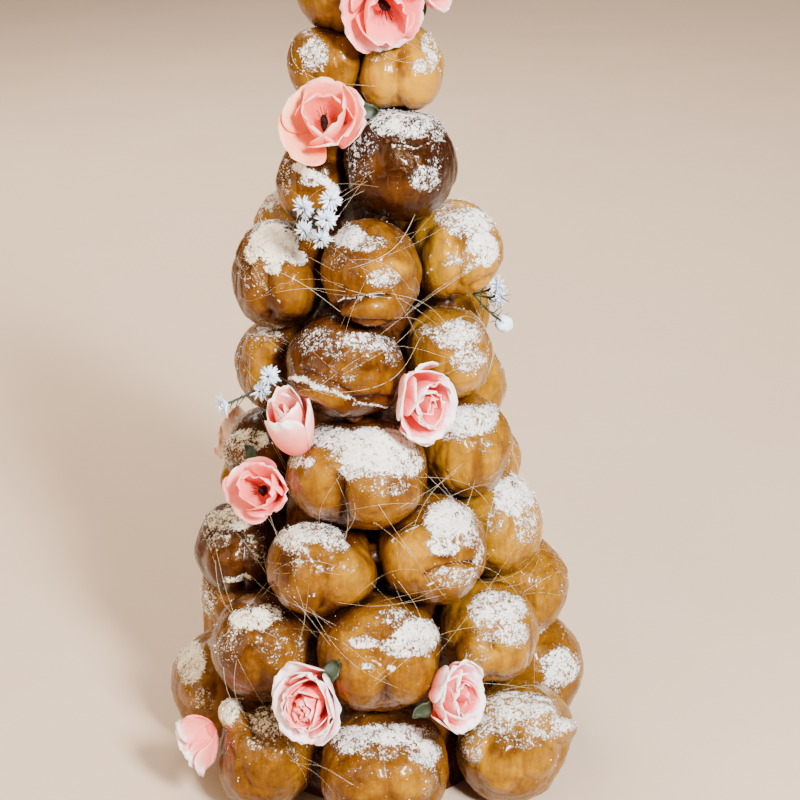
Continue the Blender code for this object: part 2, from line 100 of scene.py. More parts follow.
FACES = {
    "puff_1_1": face(
        tone=0.35,
        lobes=[(196, 690, 20, 22, 1.5)],
        sugar=[(190, 660, 16, 26, 0.9), (202, 700, 14, 14, 0.4)],
    ),
    "puff_1_2": face(
        tone=0.42,
        lobes=[(232, 712, 20, 18, 3.0), (285, 765, 34, 34, 1.0)],
        lines=[(240, 700, 252, 735, -1.6, 3), (224, 745, 246, 790, -0.8, 3)],
        sugar=[(228, 710, 15, 16, 0.95), (272, 718, 26, 22, 0.75), (262, 740, 22, 12, 0.45),
               (300, 742, 14, 20, 0.35)],
        streaks=[(246, 712, 268, 722, 1.6, 0.9), (262, 735, 276, 762, 1.2, 0.7)],
    ),
    "puff_1_3": face(
        tone=0.4,
        lobes=[(360, 780, 34, 26, 1.2), (412, 778, 32, 28, 1.5)],
        lines=[(331, 741, 360, 725, -0.9, 1.5), (360, 725, 444, 737, -0.9, 1.5),
               (344, 752, 400, 738, -0.6, 1.4), (386, 770, 392, 800, -0.5, 4)],
        sugar=[(350, 738, 24, 16, 0.8), (392, 732, 42, 14, 0.85), (425, 752, 20, 18, 0.85),
               (385, 752, 34, 10, 0.45), (428, 780, 12, 18, 0.3)],
        streaks=[(408, 742, 436, 778, 1.0, 0.7), (420, 740, 444, 768, 1.0, 0.7),
                 (396, 748, 424, 782, 0.9, 0.6)],
        stains=[(350, 770, 16, 24, 0.15), (412, 785, 20, 12, -0.1)],
    ),
    "puff_1_4": face(
        tone=0.22,
        lobes=[(500, 766, 28, 34, 2.2), (540, 752, 24, 34, 2.4), (542, 716, 26, 20, 2.2),
               (567, 729, 15, 15, 3.4), (473, 746, 18, 20, 2.4), (504, 704, 34, 22, 1.4)],
        lines=[(516, 752, 516, 780, -0.6, 4), (534, 738, 552, 750, -0.8, 2.5)],
        sugar=[(522, 704, 40, 20, 0.8), (545, 725, 22, 16, 0.7), (490, 722, 24, 16, 0.6),
               (470, 748, 14, 20, 0.55), (520, 740, 26, 10, 0.4), (564, 722, 12, 9, 0.8)],
        streaks=[(462, 738, 476, 770, 1.6, 0.8), (512, 722, 548, 716, 1.4, 0.9)],
        stains=[(505, 745, 16, 14, 0.3), (478, 762, 12, 14, -0.15), (545, 752, 12, 16, 0.1)],
    ),
    "puff_1_5": face(
        tone=0.4,
        sugar=[(560, 668, 20, 20, 0.85), (545, 690, 18, 10, 0.5)],
    ),
    "puff_2_1": face(
        tone=0.45,
        sugar=[(207, 600, 10, 20, 0.6)],
    ),
    "puff_2_2": face(
        tone=0.6,
        lobes=[(240, 650, 36, 40, 1.4), (286, 655, 28, 36, 1.2)],
        lines=[(258, 622, 276, 610, -1.0, 1.6), (262, 632, 262, 688, -0.5, 4)],
        sugar=[(252, 618, 25, 13, 1.0), (270, 612, 16, 10, 0.8), (282, 640, 26, 30, 0.28),
               (226, 640, 16, 24, 0.25)],
        streaks=[(258, 628, 272, 622, 1.6, 1.0)],
        stains=[(238, 650, 18, 26, 0.1), (286, 662, 16, 20, -0.15)],
    ),
    "puff_2_3": face(
        tone=0.37,
        lobes=[(362, 684, 30, 30, 2.0), (412, 676, 34, 34, 2.4), (350, 632, 40, 36, 1.0)],
        lines=[(386, 678, 384, 706, -0.9, 5), (330, 640, 346, 668, -0.6, 3)],
        sugar=[(420, 634, 27, 20, 1.0), (402, 646, 22, 12, 0.75), (364, 642, 16, 7, 0.75),
               (398, 614, 22, 10, 0.55), (367, 666, 7, 4, 0.8), (391, 668, 4, 4, 0.8)],
        streaks=[(388, 655, 430, 657, 1.3, 0.9)],
        stains=[(345, 620, 14, 10, 0.2), (350, 655, 16, 20, -0.08), (386, 692, 10, 14, 0.2)],
    ),
    "puff_2_4": face(
        tone=0.22,
        lobes=[(474, 660, 26, 26, 2.0), (510, 650, 24, 34, 1.6), (490, 612, 36, 24, 1.0)],
        lines=[(492, 640, 488, 682, -0.9, 4), (458, 632, 500, 652, -0.7, 2.5)],
        sugar=[(500, 608, 32, 22, 0.9), (516, 632, 18, 16, 0.8), (488, 630, 18, 14, 0.5),
               (480, 655, 12, 10, 0.25)],
        streaks=[(484, 634, 508, 640, 1.3, 0.8)],
        stains=[(462, 650, 10, 16, 0.2), (488, 652, 10, 10, -0.1)],
    ),
    "puff_2_5": face(
        tone=0.3,
        sugar=[(556, 660, 22, 16, 0.8), (540, 640, 12, 16, 0.5)],
    ),
    "puff_3_1": face(
        tone=0.8,
        lobes=[(226, 560, 26, 34, 1.6), (256, 560, 20, 30, 1.0)],
        lines=[(246, 535, 244, 590, -0.8, 4), (222, 540, 224, 590, -0.7, 2.5)],
        sugar=[(232, 518, 34, 13, 0.85), (216, 535, 18, 16, 0.5), (252, 548, 16, 16, 0.3),
               (238, 579, 16, 4, 0.75)],
        streaks=[(224, 582, 252, 575, 1.4, 0.9)],
    ),
    "puff_3_2": face(
        tone=0.42,
        lobes=[(302, 585, 32, 36, 1.6), (350, 576, 34, 36, 1.8), (312, 540, 36, 24, 1.2)],
        lines=[(328, 566, 322, 612, -0.9, 4), (350, 540, 370, 560, -0.7, 2.5)],
        sugar=[(315, 532, 32, 12, 0.9), (290, 540, 14, 12, 0.75), (336, 544, 16, 10, 0.8),
               (300, 556, 12, 12, 0.55), (276, 532, 10, 12, 0.7)],
        streaks=[(300, 545, 312, 562, 1.3, 1.0), (312, 562, 322, 572, 1.2, 1.0),
                 (318, 566, 314, 596, 0.8, 0.8), (306, 560, 296, 572, 1.0, 0.8),
                 (318, 570, 352, 570, 0.7, 0.9)],
        stains=[(285, 562, 10, 26, 0.2), (350, 578, 20, 24, -0.12), (316, 602, 28, 10, 0.1)],
    ),
    "puff_3_3": face(
        tone=0.29,
        lobes=[(412, 560, 34, 42, 1.8), (458, 556, 30, 36, 1.4), (446, 588, 36, 20, 1.8)],
        lines=[(424, 574, 478, 562, -1.3, 2.2), (392, 530, 420, 520, -0.9, 2.2)],
        sugar=[(450, 518, 28, 22, 1.0), (444, 544, 18, 12, 0.85), (470, 535, 12, 14, 0.7),
               (456, 576, 26, 9, 0.6), (480, 552, 7, 16, 0.6)],
        streaks=[(392, 541, 416, 526, 1.5, 0.9), (428, 584, 474, 568, 1.4, 0.8)],
        stains=[(408, 552, 20, 22, -0.16), (446, 552, 12, 10, 0.3), (420, 592, 36, 12, 0.2),
                (396, 530, 12, 10, 0.25), (470, 560, 12, 14, 0.2)],
    ),
    "puff_3_4": face(
        tone=0.14,
        lobes=[(505, 540, 24, 36, 1.6), (530, 530, 20, 34, 1.2)],
        lines=[(516, 520, 512, 575, -0.5, 4)],
        sugar=[(514, 494, 24, 24, 0.95), (526, 525, 14, 20, 0.65), (496, 520, 10, 16, 0.4)],
    ),
    "puff_4_1": face(
        tone=0.72,
        lobes=[(236, 450, 20, 18, 2.0)],
        sugar=[(248, 440, 22, 14, 0.8), (236, 455, 20, 14, 0.45)],
    ),
    "puff_4_2": face(
        tone=0.36,
        lobes=[(312, 482, 34, 40, 2.4), (384, 497, 48, 40, 3.0), (376, 446, 52, 34, 0.8)],
        lines=[(338, 476, 342, 524, -2.2, 5)],
        sugar=[(376, 448, 46, 29, 1.05), (330, 433, 30, 15, 0.9), (404, 462, 28, 18, 0.9),
               (294, 461, 12, 9, 0.8), (310, 463, 8, 6, 0.75), (385, 486, 26, 8, 0.45),
               (352, 470, 16, 10, 0.8)],
        streaks=[(346, 480, 372, 476, 1.4, 0.9)],
        stains=[(306, 492, 14, 24, 0.08), (342, 505, 12, 22, 0.1), (400, 488, 16, 14, 0.15),
                (314, 478, 14, 10, -0.1)],
    ),
    "puff_4_3": face(
        tone=0.24,
        lobes=[(462, 466, 30, 34, 1.2), (488, 458, 18, 34, 0.9), (470, 420, 34, 20, 1.6)],
        lines=[(444, 436, 494, 428, -1.2, 2.5)],
        sugar=[(468, 420, 30, 18, 0.95), (490, 412, 12, 14, 0.8), (452, 430, 16, 12, 0.7),
               (484, 442, 10, 12, 0.35)],
        streaks=[(440, 434, 462, 444, 1.2, 0.8), (446, 470, 470, 478, 0.7, 0.7)],
        stains=[(452, 470, 8, 22, -0.1), (478, 470, 6, 26, 0.22), (494, 455, 8, 24, -0.08)],
    ),
    "puff_5_1": face(
        tone=0.4,
        lobes=[(262, 350, 24, 24, 1.5), (268, 382, 26, 24, 1.5)],
        sugar=[(266, 335, 22, 10, 0.4)],
        stains=[(284, 360, 10, 30, 0.35), (252, 370, 14, 24, -0.15)],
    ),
    "puff_5_2": face(
        tone=0.64,
        lobes=[(350, 362, 52, 38, 1.6), (378, 392, 26, 20, 1.0)],
        lines=[(290, 388, 344, 407, 2.4, 9), (298, 370, 350, 393, -1.0, 2.5),
               (352, 402, 392, 398, -1.2, 2.5)],
        sugar=[(318, 342, 26, 20, 0.42), (366, 342, 30, 12, 0.65), (394, 352, 12, 16, 0.5),
               (345, 357, 12, 4, 0.6), (330, 365, 40, 22, 0.2)],
        streaks=[(289, 378, 318, 386, 3.0, 1.0), (318, 386, 350, 399, 2.2, 0.95),
                 (354, 406, 388, 410, 1.8, 0.8)],
        stains=[(316, 396, 30, 9, -0.35), (366, 398, 18, 6, 0.2), (380, 385, 18, 16, -0.14),
                (318, 350, 24, 18, 0.12)],
    ),
    "puff_5_3": face(
        tone=0.2,
        lobes=[(430, 350, 24, 34, 1.6), (466, 356, 26, 40, 1.8)],
        lines=[(444, 325, 442, 390, -0.6, 4)],
        sugar=[(458, 334, 26, 18, 0.75), (468, 358, 18, 16, 0.7), (430, 330, 12, 8, 0.5)],
        streaks=[(440, 338, 470, 346, 1.2, 0.8), (470, 340, 478, 372, 1.2, 0.7)],
        stains=[(430, 352, 12, 30, 0.28), (462, 386, 18, 14, -0.15)],
    ),
    "puff_6_1": face(
        tone=0.52,
        lobes=[(291, 291, 31, 36, 2.8), (254, 286, 22, 38, 0.8)],
        lines=[(244, 240, 262, 230, -0.9, 1.6), (266, 276, 272, 318, -0.8, 3)],
        sugar=[(272, 240, 30, 24, 1.15), (250, 250, 12, 14, 0.95), (298, 256, 14, 10, 1.0),
               (272, 266, 10, 9, 0.9), (252, 275, 16, 20, 0.2)],
        streaks=[(245, 259, 266, 290, 0.8, 0.9), (266, 290, 280, 300, 0.8, 0.9)],
        stains=[(290, 288, 22, 22, -0.06), (270, 302, 12, 12, 0.18), (250, 280, 10, 20, 0.08),
                (285, 320, 26, 9, 0.3)],
    ),
    "puff_6_2": face(
        tone=0.42,
        lobes=[(372, 316, 40, 14, 2.2), (392, 262, 28, 26, 1.2)],
        lines=[(334, 311, 390, 301, -1.5, 2.2), (338, 320, 404, 324, -1.0, 2.0)],
        sugar=[(346, 232, 20, 14, 0.95), (366, 240, 22, 10, 0.7), (384, 280, 20, 12, 0.75),
               (334, 256, 10, 16, 0.35)],
        streaks=[(336, 304, 352, 302, 1.6, 0.9), (356, 303, 386, 298, 1.6, 1.0),
                 (352, 330, 396, 328, 1.6, 0.8)],
        stains=[(350, 262, 18, 12, 0.14), (385, 268, 26, 8, -0.26), (405, 290, 12, 16, -0.05),
                (345, 300, 14, 14, 0.15)],
    ),
    "puff_6_3": face(
        tone=0.1,
        lobes=[(440, 262, 24, 42, 2.0), (478, 260, 26, 36, 1.8)],
        lines=[(458, 225, 456, 300, -0.5, 4), (470, 290, 490, 276, -1.0, 2.5)],
        sugar=[(470, 222, 28, 18, 0.85), (484, 246, 18, 20, 1.0), (460, 262, 16, 12, 0.45),
               (446, 216, 14, 16, 0.6)],
        streaks=[(424, 274, 452, 262, 1.2, 0.8), (430, 258, 448, 240, 1.0, 0.7),
                 (452, 262, 466, 272, 1.2, 0.7)],
        stains=[(432, 282, 10, 24, -0.08), (427, 240, 8, 16, 0.28), (462, 238, 10, 12, 0.22)],
    ),
    "puff_7_1": face(
        tone=0.6,
        sugar=[(286, 178, 7, 18, 0.55), (312, 180, 16, 8, 0.7)],
        streaks=[(296, 167, 338, 192, 4.5, 1.3)],
        stains=[(326, 168, 14, 8, 0.4), (286, 196, 10, 14, -0.25)],
    ),
    "puff_7_2": face(
        tone=0.98,
        lobes=[(396, 182, 56, 42, 1.0), (400, 128, 50, 24, 1.2)],
        lines=[(388, 141, 418, 146, -0.9, 1.6), (418, 146, 450, 137, -0.9, 1.6)],
        sugar=[(402, 122, 38, 19, 0.8), (432, 128, 18, 12, 0.6), (362, 138, 20, 20, 0.4),
               (426, 178, 16, 14, 0.75), (356, 160, 14, 20, 0.22), (436, 160, 12, 20, 0.3)],
        streaks=[(347, 164, 372, 180, 0.9, 0.9), (392, 146, 416, 148, 1.0, 0.9),
                 (416, 148, 448, 138, 1.2, 0.9), (354, 150, 366, 172, 0.7, 0.6),
                 (430, 152, 444, 140, 0.7, 0.7), (404, 142, 414, 156, 1.0, 0.8)],
        stains=[(366, 172, 16, 24, -0.18), (405, 190, 24, 11, -0.14), (396, 142, 14, 12, 0.2),
                (430, 148, 12, 12, -0.1)],
    ),
    "puff_8_1": face(
        tone=0.38,
        lines=[(316, 45, 312, 78, -0.6, 3), (330, 45, 328, 78, -0.5, 3)],
        sugar=[(314, 54, 16, 18, 0.65)],
        streaks=[(306, 50, 302, 74, 1.4, 0.8), (320, 44, 322, 70, 1.2, 0.8)],
    ),
    "puff_8_2": face(
        tone=0.08,
        lobes=[(374, 80, 26, 34, 1.5), (422, 82, 28, 36, 1.7)],
        lines=[(397, 54, 399, 104, -0.6, 7)],
        sugar=[(436, 42, 14, 20, 0.85), (424, 66, 12, 9, 0.7), (370, 54, 20, 10, 0.42),
               (404, 101, 9, 4, 0.5)],
        streaks=[(392, 70, 394, 96, 1.4, 0.5)],
        stains=[(420, 76, 15, 24, -0.2), (378, 90, 18, 13, -0.15), (404, 64, 9, 18, 0.3),
                (370, 60, 20, 9, 0.2)],
    ),
    "puff_9_1": face(
        tone=0.36,
        lines=[(334, 10, 332, 36, -0.5, 3), (350, 8, 350, 38, -0.4, 3)],
        sugar=[(338, -14, 24, 12, 0.7)],
    ),
}

# A flower is placed as in the CAD model: degrees round the tower from the front, height, distance
# from the axis and width in millimetres, how much taller than wide it is, turn and lift in degrees,
# and the leaf's angle or None. nod tips its cup up, spin turns it, and peach is its colour from 0 to 1.
Flower = namedtuple("Flower", "kind azimuth rise reach width tall turn lift leaf spin nod peach")
FLOWERS = {
    "flower_top": Flower("open", 20, 317.5, 35, 27, 1.2, -8, 15, None, 60, -30, 0.0),
    "flower_top_right": Flower("open", 74, 329, 33, 27, 1.0, 0, 25, -135, 48, 0, 0.0),
    "flower_upper_left": Flower("open", -18, 287, 40, 29, 1.08, 10, 15, 0, 0, 28, 1.0),
    "flower_middle_right": Flower("cupped", 23, 183, 62, 29, 1.3, 10, 0, None, 20, 5, 0.0),
    "flower_middle_left": Flower("closed", -29, 174, 62, 23, 1.0, -18, 5, None, 40, 62, 0.15),
    "flower_low_left": Flower("open", -38, 149, 70, 29, 0.74, 5, 15, 140, 10, 14, 0.10),
    "flower_side_left": Flower("rose", -114, 132, 64, 26, 1.0, 0, 10, None, 0, 0, 1.0),
    "flower_foot_left": Flower("rose", -16, 74, 91, 31, 1.2, -10, 10, 65, 200, 0, 0.0),
    "flower_foot_right": Flower("cupped", 23, 74, 91, 30, 1.15, 25, 5, 185, 75, 12, 0.0),
    "flower_base_left": Flower("bud", -54, 31, 94, 28, 1.2, -22, -10, None, 200, -22, 0.15),
    "flower_back": Flower("rose", 170, 132, 70, 28, 1.1, 0, 10, 60, 0, 0, 0.2),
}

# The rings of petals, outermost first. Lengths are shares of the flower's half width.
# They stand evenly round it, or else at the angles given.
Petals = namedtuple("Petals", "count start length width foot_angle rim_angle curl cup twist shade angles",
                    defaults=(None,))
PETALS = {
    "rose": (
        Petals(5, 0.14, 1.24, 1.06, 62, 14, 50, 0.90, 8, 0.36),
        Petals(4, 0.12, 1.17, 0.96, 50, 4, 26, 0.66, 12, 0.12),
        Petals(4, 0.10, 1.11, 0.78, 36, -4, 10, 0.42, 16, -0.06),
        Petals(3, 0.07, 1.07, 0.52, 20, -5, 6, 0.26, 22, -0.18),
        Petals(2, 0.03, 1.03, 0.36, 10, -4, 3, 0.15, 28, -0.28),
    ),
    "open": (
        Petals(2, 0.13, 1.15, 1.12, 72, 50, 12, 1.60, 4, 0.14, (130, 214)),
        Petals(3, 0.13, 1.05, 0.96, 66, 30, 14, 1.05, 8, 0.08, (62, 0, 298)),
        Petals(3, 0.10, 1.14, 1.12, 68, -8, 4, 0.82, 10, -0.02, (200, 78, 322)),
    ),
    "cupped": (
        Petals(4, 0.14, 1.24, 1.22, 60, 8, 34, 0.95, 10, 0.30),
        Petals(3, 0.12, 1.18, 1.08, 48, -2, 14, 0.68, 14, 0.10),
        Petals(3, 0.09, 1.12, 0.82, 32, -6, 8, 0.42, 18, -0.06),
        Petals(2, 0.05, 1.06, 0.52, 15, -5, 4, 0.22, 24, -0.22),
    ),
    "bud": (
        Petals(4, 0.12, 1.24, 1.12, 60, 0, 22, 0.76, 10, 0.18),
        Petals(3, 0.10, 1.17, 0.98, 46, -8, 10, 0.54, 13, 0.0),
        Petals(3, 0.08, 1.10, 0.68, 30, -8, 5, 0.34, 18, -0.12),
    ),
    "closed": (
        Petals(3, 0.10, 2.40, 1.15, 64, -10, 8, 0.78, 10, 0.18),
        Petals(3, 0.08, 2.36, 1.08, 54, -15, 4, 0.60, 12, 0.06),
        Petals(2, 0.06, 2.20, 0.80, 38, -14, 0, 0.42, 16, -0.10),
    ),
}
# How far a flower's foot is behind its middle, over its half width.
FOOT_DEPTH = {"rose": 1.0, "cupped": 1.0, "open": 1.0, "bud": 1.0, "closed": 1.2}
# How a nodding flower is pushed in and flattened, so that it keeps to its place, over its half width.
NOD_SINK = 0.40
NOD_FLATTENING = 0.30
PETAL_ROWS = 12
PETAL_COLUMNS = 11
PETAL_THICKNESS = 0.3 * MM
PETAL_WAIST = 0.6  # where along it a petal is widest
CURL_START = 0.72  # where along it a petal's rim starts to curl
CUP_LIMIT = 1.5  # radians that a petal's side wraps round its flower at most
HEART_SIZES = np.array([0.075, 0.18, 0.18])  # over the flower's half width, as are the next two
HEART_DEPTH = 0.52
FOOT_SIZES = np.array([0.30, 0.30, 0.16])
STAMENS = 9
STAMEN_RADIUS = 0.13 * MM
LEAF_ROWS = 14
LEAF_COLUMNS = 7
LEAF_LENGTH = 10.5 * MM
LEAF_WIDTH = 6.5 * MM
LEAF_THICKNESS = 0.5 * MM
LEAF_FOLD = 0.9 * MM
LEAF_WAVE = 1.2 * MM

# A sprig: degrees round the tower, height and distance from the axis in millimetres, and its
# florets' places to the right, up and outwards from there. Their kinds are one letter each: f is
# fringed, t a trumpet and b a round bud.
Sprig = namedtuple("Sprig", "azimuth rise reach florets kinds")
SPRIGS = {
    "sprig_upper_left": Sprig(-19, 251, 46, ((-5, 3, 1), (6, 7, 1), (5, 0, 3), (-5, -6, 1), (2, -8, 2)),
                              "fffff"),
    "sprig_right": Sprig(84, 205, 50, ((-2, 5, 2), (0, -1, 3), (-3, -11, 4)), "ffb"),
    "sprig_left": Sprig(-42, 186, 55, ((3, 4, 1), (-1, -3, 2), (-12, -9, 9)), "fft"),
}
FLORET_RADIUS = 4.3 * MM
BUD_RADIUS = 0.8 * FLORET_RADIUS
# Each ring of a floret's rays, outermost first: how many there are and how far they lean, in degrees.
FRINGE_RINGS = ((20, 88), (18, 68), (13, 46), (8, 22))
TRUMPET_RINGS = ((13, 34), (13, 16))
RAY_ALONG = np.linspace(0, 1, 5)
RAY_WIDTHS = 0.30 * MM * np.array([0.35, 0.6, 0.9, 1.0, 0.5])
TRUMPET_WIDENING = 3.0
RAY_THICKNESS = 0.12 * MM
STEM_ROOT = -8 * MM
STEM_RADIUS = 0.45 * MM
NEEDLES_A_STEM = 16
NEEDLE_RADII = 0.20 * MM * np.array([1, 1, 0.8, 0.2])
NEEDLE_DROOP = 1.2 * MM

# Threads of spun sugar on the side that the photograph shows: where each bundle starts and ends
# in the picture, how far its threads stray from that, in pixels, and how many there are.
Bundle = namedtuple("Bundle", "x y end_x end_y stray count")
BUNDLES = tuple(itertools.starmap(Bundle, (
    (300, 245, 372, 188, 16, 9), (318, 236, 400, 190, 10, 6), (322, 250, 412, 330, 12, 8),
    (240, 256, 268, 292, 5, 3), (262, 294, 345, 292, 6, 4), (330, 262, 420, 230, 18, 6),
    (322, 272, 424, 302, 14, 7), (352, 330, 372, 280, 12, 4), (392, 300, 440, 345, 12, 8),
    (420, 250, 480, 236, 14, 5), (424, 300, 492, 262, 16, 5), (296, 330, 330, 372, 12, 4),
    (300, 410, 352, 396, 8, 4), (336, 511, 424, 505, 5, 3), (286, 500, 352, 536, 14, 6),
    (340, 480, 334, 552, 12, 5), (400, 530, 470, 470, 18, 7), (428, 480, 500, 520, 18, 7),
    (376, 520, 432, 600, 16, 7), (202, 604, 290, 578, 8, 6), (210, 560, 262, 640, 18, 2),
    (262, 590, 330, 630, 14, 7), (262, 560, 352, 570, 12, 5), (300, 560, 310, 620, 10, 4),
    (372, 600, 450, 588, 12, 8), (380, 580, 440, 640, 18, 7), (440, 560, 520, 590, 14, 7),
    (470, 540, 540, 600, 16, 6), (320, 620, 400, 690, 24, 7), (345, 700, 440, 660, 18, 6),
    (290, 640, 352, 720, 14, 6), (230, 660, 260, 720, 12, 5), (240, 720, 300, 780, 18, 6),
    (330, 730, 440, 760, 20, 6), (440, 690, 540, 700, 18, 6), (470, 640, 560, 660, 14, 6),
    (450, 740, 560, 740, 22, 7), (300, 760, 352, 792, 14, 5), (346, 166, 372, 182, 3, 2),
    (280, 180, 330, 220, 10, 4), (300, 60, 350, 110, 12, 4), (352, 40, 440, 60, 12, 4),
    (300, 380, 410, 340, 24, 6), (240, 350, 300, 400, 16, 5), (430, 400, 500, 440, 14, 5),
)))
THREAD_RADIUS = 0.035 * MM
THREAD_SIDES = 3
THREAD_STEPS = 22
SHORTEST_THREAD = 4 * MM
LONGEST_THREAD = 70 * MM
THREAD_DROP = -30 * MM  # how low a thread would hang where nothing carries it
LOOK_HEIGHT = 120 * MM  # where a search for the surface under a thread starts, and how far it goes
LOOK_DEPTH = 160 * MM
THREAD_CLEARANCE = 25 * MM  # a thread that stands farther off the puffs is left out
# The same bundles are spun in front and on the sides behind, at these degrees round the tower, with
# these shares of the threads.
VIEWS = {0: 0.45, 95: 0.35, 180: 0.35, -95: 0.35}

# A puff's crust: how large its lumps, folds and wrinkles are, and its relief's strengths.
LUMP_SIZE = 13 * MM
SMALL_LUMP_SIZE = 5 * MM
FOLD_SIZE = 7 * MM
WRINKLE_SIZE = 2.0 * MM
LOBE_GAIN = 1.8
LOBE_SINK = 0.9
LOBE_ROUNDNESS = 0.85
LINE_GAIN = 1.5
LINE_BOW = 0.06  # how far a line bows, over its length
GROOVE_SHAPE = 1.3
ROLL_SHAPE = 2.4
SUGAR_HEIGHT = 0.3 * MM
# Painted shade, with a little pooled caramel, darkens the crust round the places where puffs touch.
TOUCH_REACH = 3 * MM  # how far round a touching place the crust is darker
# Painted warm light: the sugar is creamier to the left of this pixel, and whiter from the second on.
WARM_LIGHT_FADE_START, WARM_LIGHT_FADE_END = 246, 330

CORE_SEGMENTS = 72
CORE_ROWS = 90
CARAMEL_RELIEF = 2.5 * MM
GLUE_RADII = (2.6, 4.2)  # in millimetres, as is the next, from where two puffs meet
GLUE_REACH = (3, 7)
GLUED_GAP = 1.04  # puffs that are farther apart than this share of their radii have no glue

CRUMBS_A_PUFF = 230
CRUMB_RADII = (0.12 * MM, 0.20 * MM)
CRUMB_DRIFT = 0.35 * MM

BOX_MARGIN = 0.05 * MM
FLOOR_HALF = 4.0

# Each lamp's place and size in metres, power in watts and colour.
LAMPS = {
    "key": ((0.55, -0.95, 0.95), (0.20, 0.30), 82, (0.97, 0.98, 1.0)),
    "fill": ((-1.3, -0.9, 0.9), (1.5, 1.5), 42, (1.0, 0.78, 0.55)),
    "back": ((-0.3, 0.9, 0.9), (0.8, 0.6), 22, (1.0, 0.95, 0.90)),
    "sky": ((0.0, 1.8, 2.2), (2.5, 2.5), 50, (1.0, 0.92, 0.84)),
}
LAMP_AIM = Vector((0, 0, 0.16))
STUDIO_COLOUR = (1.0, 0.66, 0.40, 1)
STUDIO_STRENGTH = 0.22

LATTICE_SIZE = 48
LATTICE = np.random.default_rng(SEED).uniform(-1, 1, (LATTICE_SIZE,) * 3)


def noise(points, size, shift=0.0):
    """Smooth noise from -1 to 1 at points in metres. Its features are about size across."""
    grid = points / size + shift
    cell = np.floor(grid).astype(int)
    part = grid - cell
    part = part * part * (3 - 2 * part)
    total = np.zeros(len(points))
    for corner in itertools.product((0, 1), repeat=3):
        weight = np.prod(np.where(corner, part, 1 - part), axis=1)
        index = (cell + corner) % LATTICE_SIZE
        total += weight * LATTICE[index[:, 0], index[:, 1], index[:, 2]]
    return total


def rise_between(values, low, high):
    """0 below low, 1 above high, and a smooth step between."""
    part = np.clip((values - low) / (high - low), 0, 1)
    return part * part * (3 - 2 * part)


def camera_axes():
    """Right, up and forward, as unit vectors."""
    forward = np.array([0, math.cos(CAMERA_PITCH), -math.sin(CAMERA_PITCH)])
    level = np.array([1.0, 0, 0])
    above = np.cross(level, forward)
    right = math.cos(CAMERA_ROLL) * level + math.sin(CAMERA_ROLL) * above
    up = -math.sin(CAMERA_ROLL) * level + math.cos(CAMERA_ROLL) * above
    return right, up, forward


def in_picture(points):
    """Where points are in the picture, in pixels from its upper left."""
    right, up, forward = camera_axes()
    away = points - CAMERA_PLACE
    depth = away @ forward
    x = PICTURE / 2 + PIXELS_PER_SLOPE * (away @ right) / depth
    y = PICTURE / 2 - PIXELS_PER_SLOPE * (away @ up) / depth
    return x, y


def through_picture(x, y):
    """The direction from the camera through a place in the picture."""
    right, up, forward = camera_axes()
    ray = forward + right * (x - PICTURE / 2) / PIXELS_PER_SLOPE - up * (y - PICTURE / 2) / PIXELS_PER_SLOPE
    return ray / np.linalg.norm(ray)


def in_box(points):
    """Keeps points inside the CAD model's box."""
    low, high = (np.array(corner) for corner in cad_box)
    return np.clip(points, low + BOX_MARGIN, high - BOX_MARGIN)


def new_piece(name, points, faces, materials, node=None, slot="choux", kinds=None, smooth=True):
    """A mesh that rides on the model. kinds says which of the materials each face has."""
    mesh = bpy.data.meshes.new(name)
    mesh.from_pydata(np.asarray(in_box(points)).tolist(), [], [tuple(map(int, f)) for f in faces])
    for material in materials:
        mesh.materials.append(material)
    if kinds is not None:
        mesh.polygons.foreach_set("material_index", np.asarray(kinds, dtype=np.int32))
    if smooth:
        mesh.shade_smooth()
    piece = bpy.data.objects.new(name, mesh)
    bpy.context.scene.collection.objects.link(piece)
    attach(piece, "root")
    if node:
        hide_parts(node)
    return piece


def set_attribute(piece, name, values):
    attribute = piece.data.attributes.new(name, "FLOAT", "POINT")
    attribute.data.foreach_set("value", np.asarray(values, dtype=np.float32))


class Shape:
    """Points, faces, and for each face its material and for each point a value or two."""

    def __init__(self):
        self.points = []
        self.faces = []
        self.kinds = []
        self.along = []
        self.tint = []
        self.size = 0

    def add(self, points, faces, kind=0, along=0.0, tint=0.0):
        count = len(points)
        self.points.append(points)
        self.faces.extend(tuple(index + self.size for index in one) for one in faces)
        self.kinds.extend([kind] * len(faces))
        self.along.append(np.broadcast_to(along, count))
        self.tint.append(np.broadcast_to(tint, count))
        self.size += count

    def piece(self, name, materials, **more):
        piece = new_piece(name, np.vstack(self.points), self.faces, materials, kinds=self.kinds, **more)
        set_attribute(piece, "along", np.concatenate(self.along))
        set_attribute(piece, "tint", np.concatenate(self.tint))
        return piece


def sheet_solid(grid, thickness):
    """A grid of points made into a thin closed body: its points and faces."""
    rows, columns = grid.shape[:2]
    across = np.gradient(grid, axis=1)
    down = np.gradient(grid, axis=0)
    normal = np.cross(across, down)
    normal /= np.maximum(np.linalg.norm(normal, axis=2, keepdims=True), 1e-12)
    offset = normal * thickness / 2
    points = np.concatenate([(grid + offset).reshape(-1, 3), (grid - offset).reshape(-1, 3)])
    half = rows * columns
    index = np.arange(half).reshape(rows, columns)
    faces = []
    corners = (index[:-1, :-1], index[:-1, 1:], index[1:, 1:], index[1:, :-1])
    for a, b, c, d in zip(*(corner.flat for corner in corners)):
        faces.append((a, b, c, d))
        faces.append((half + a, half + d, half + c, half + b))
    edge = [*index[0], *index[1:, -1], *index[-1, -2::-1], *index[-2:0:-1, 0]]
    for first, second in zip(edge, edge[1:] + edge[:1]):
        faces.append((first, half + first, half + second, second))
    return points, faces


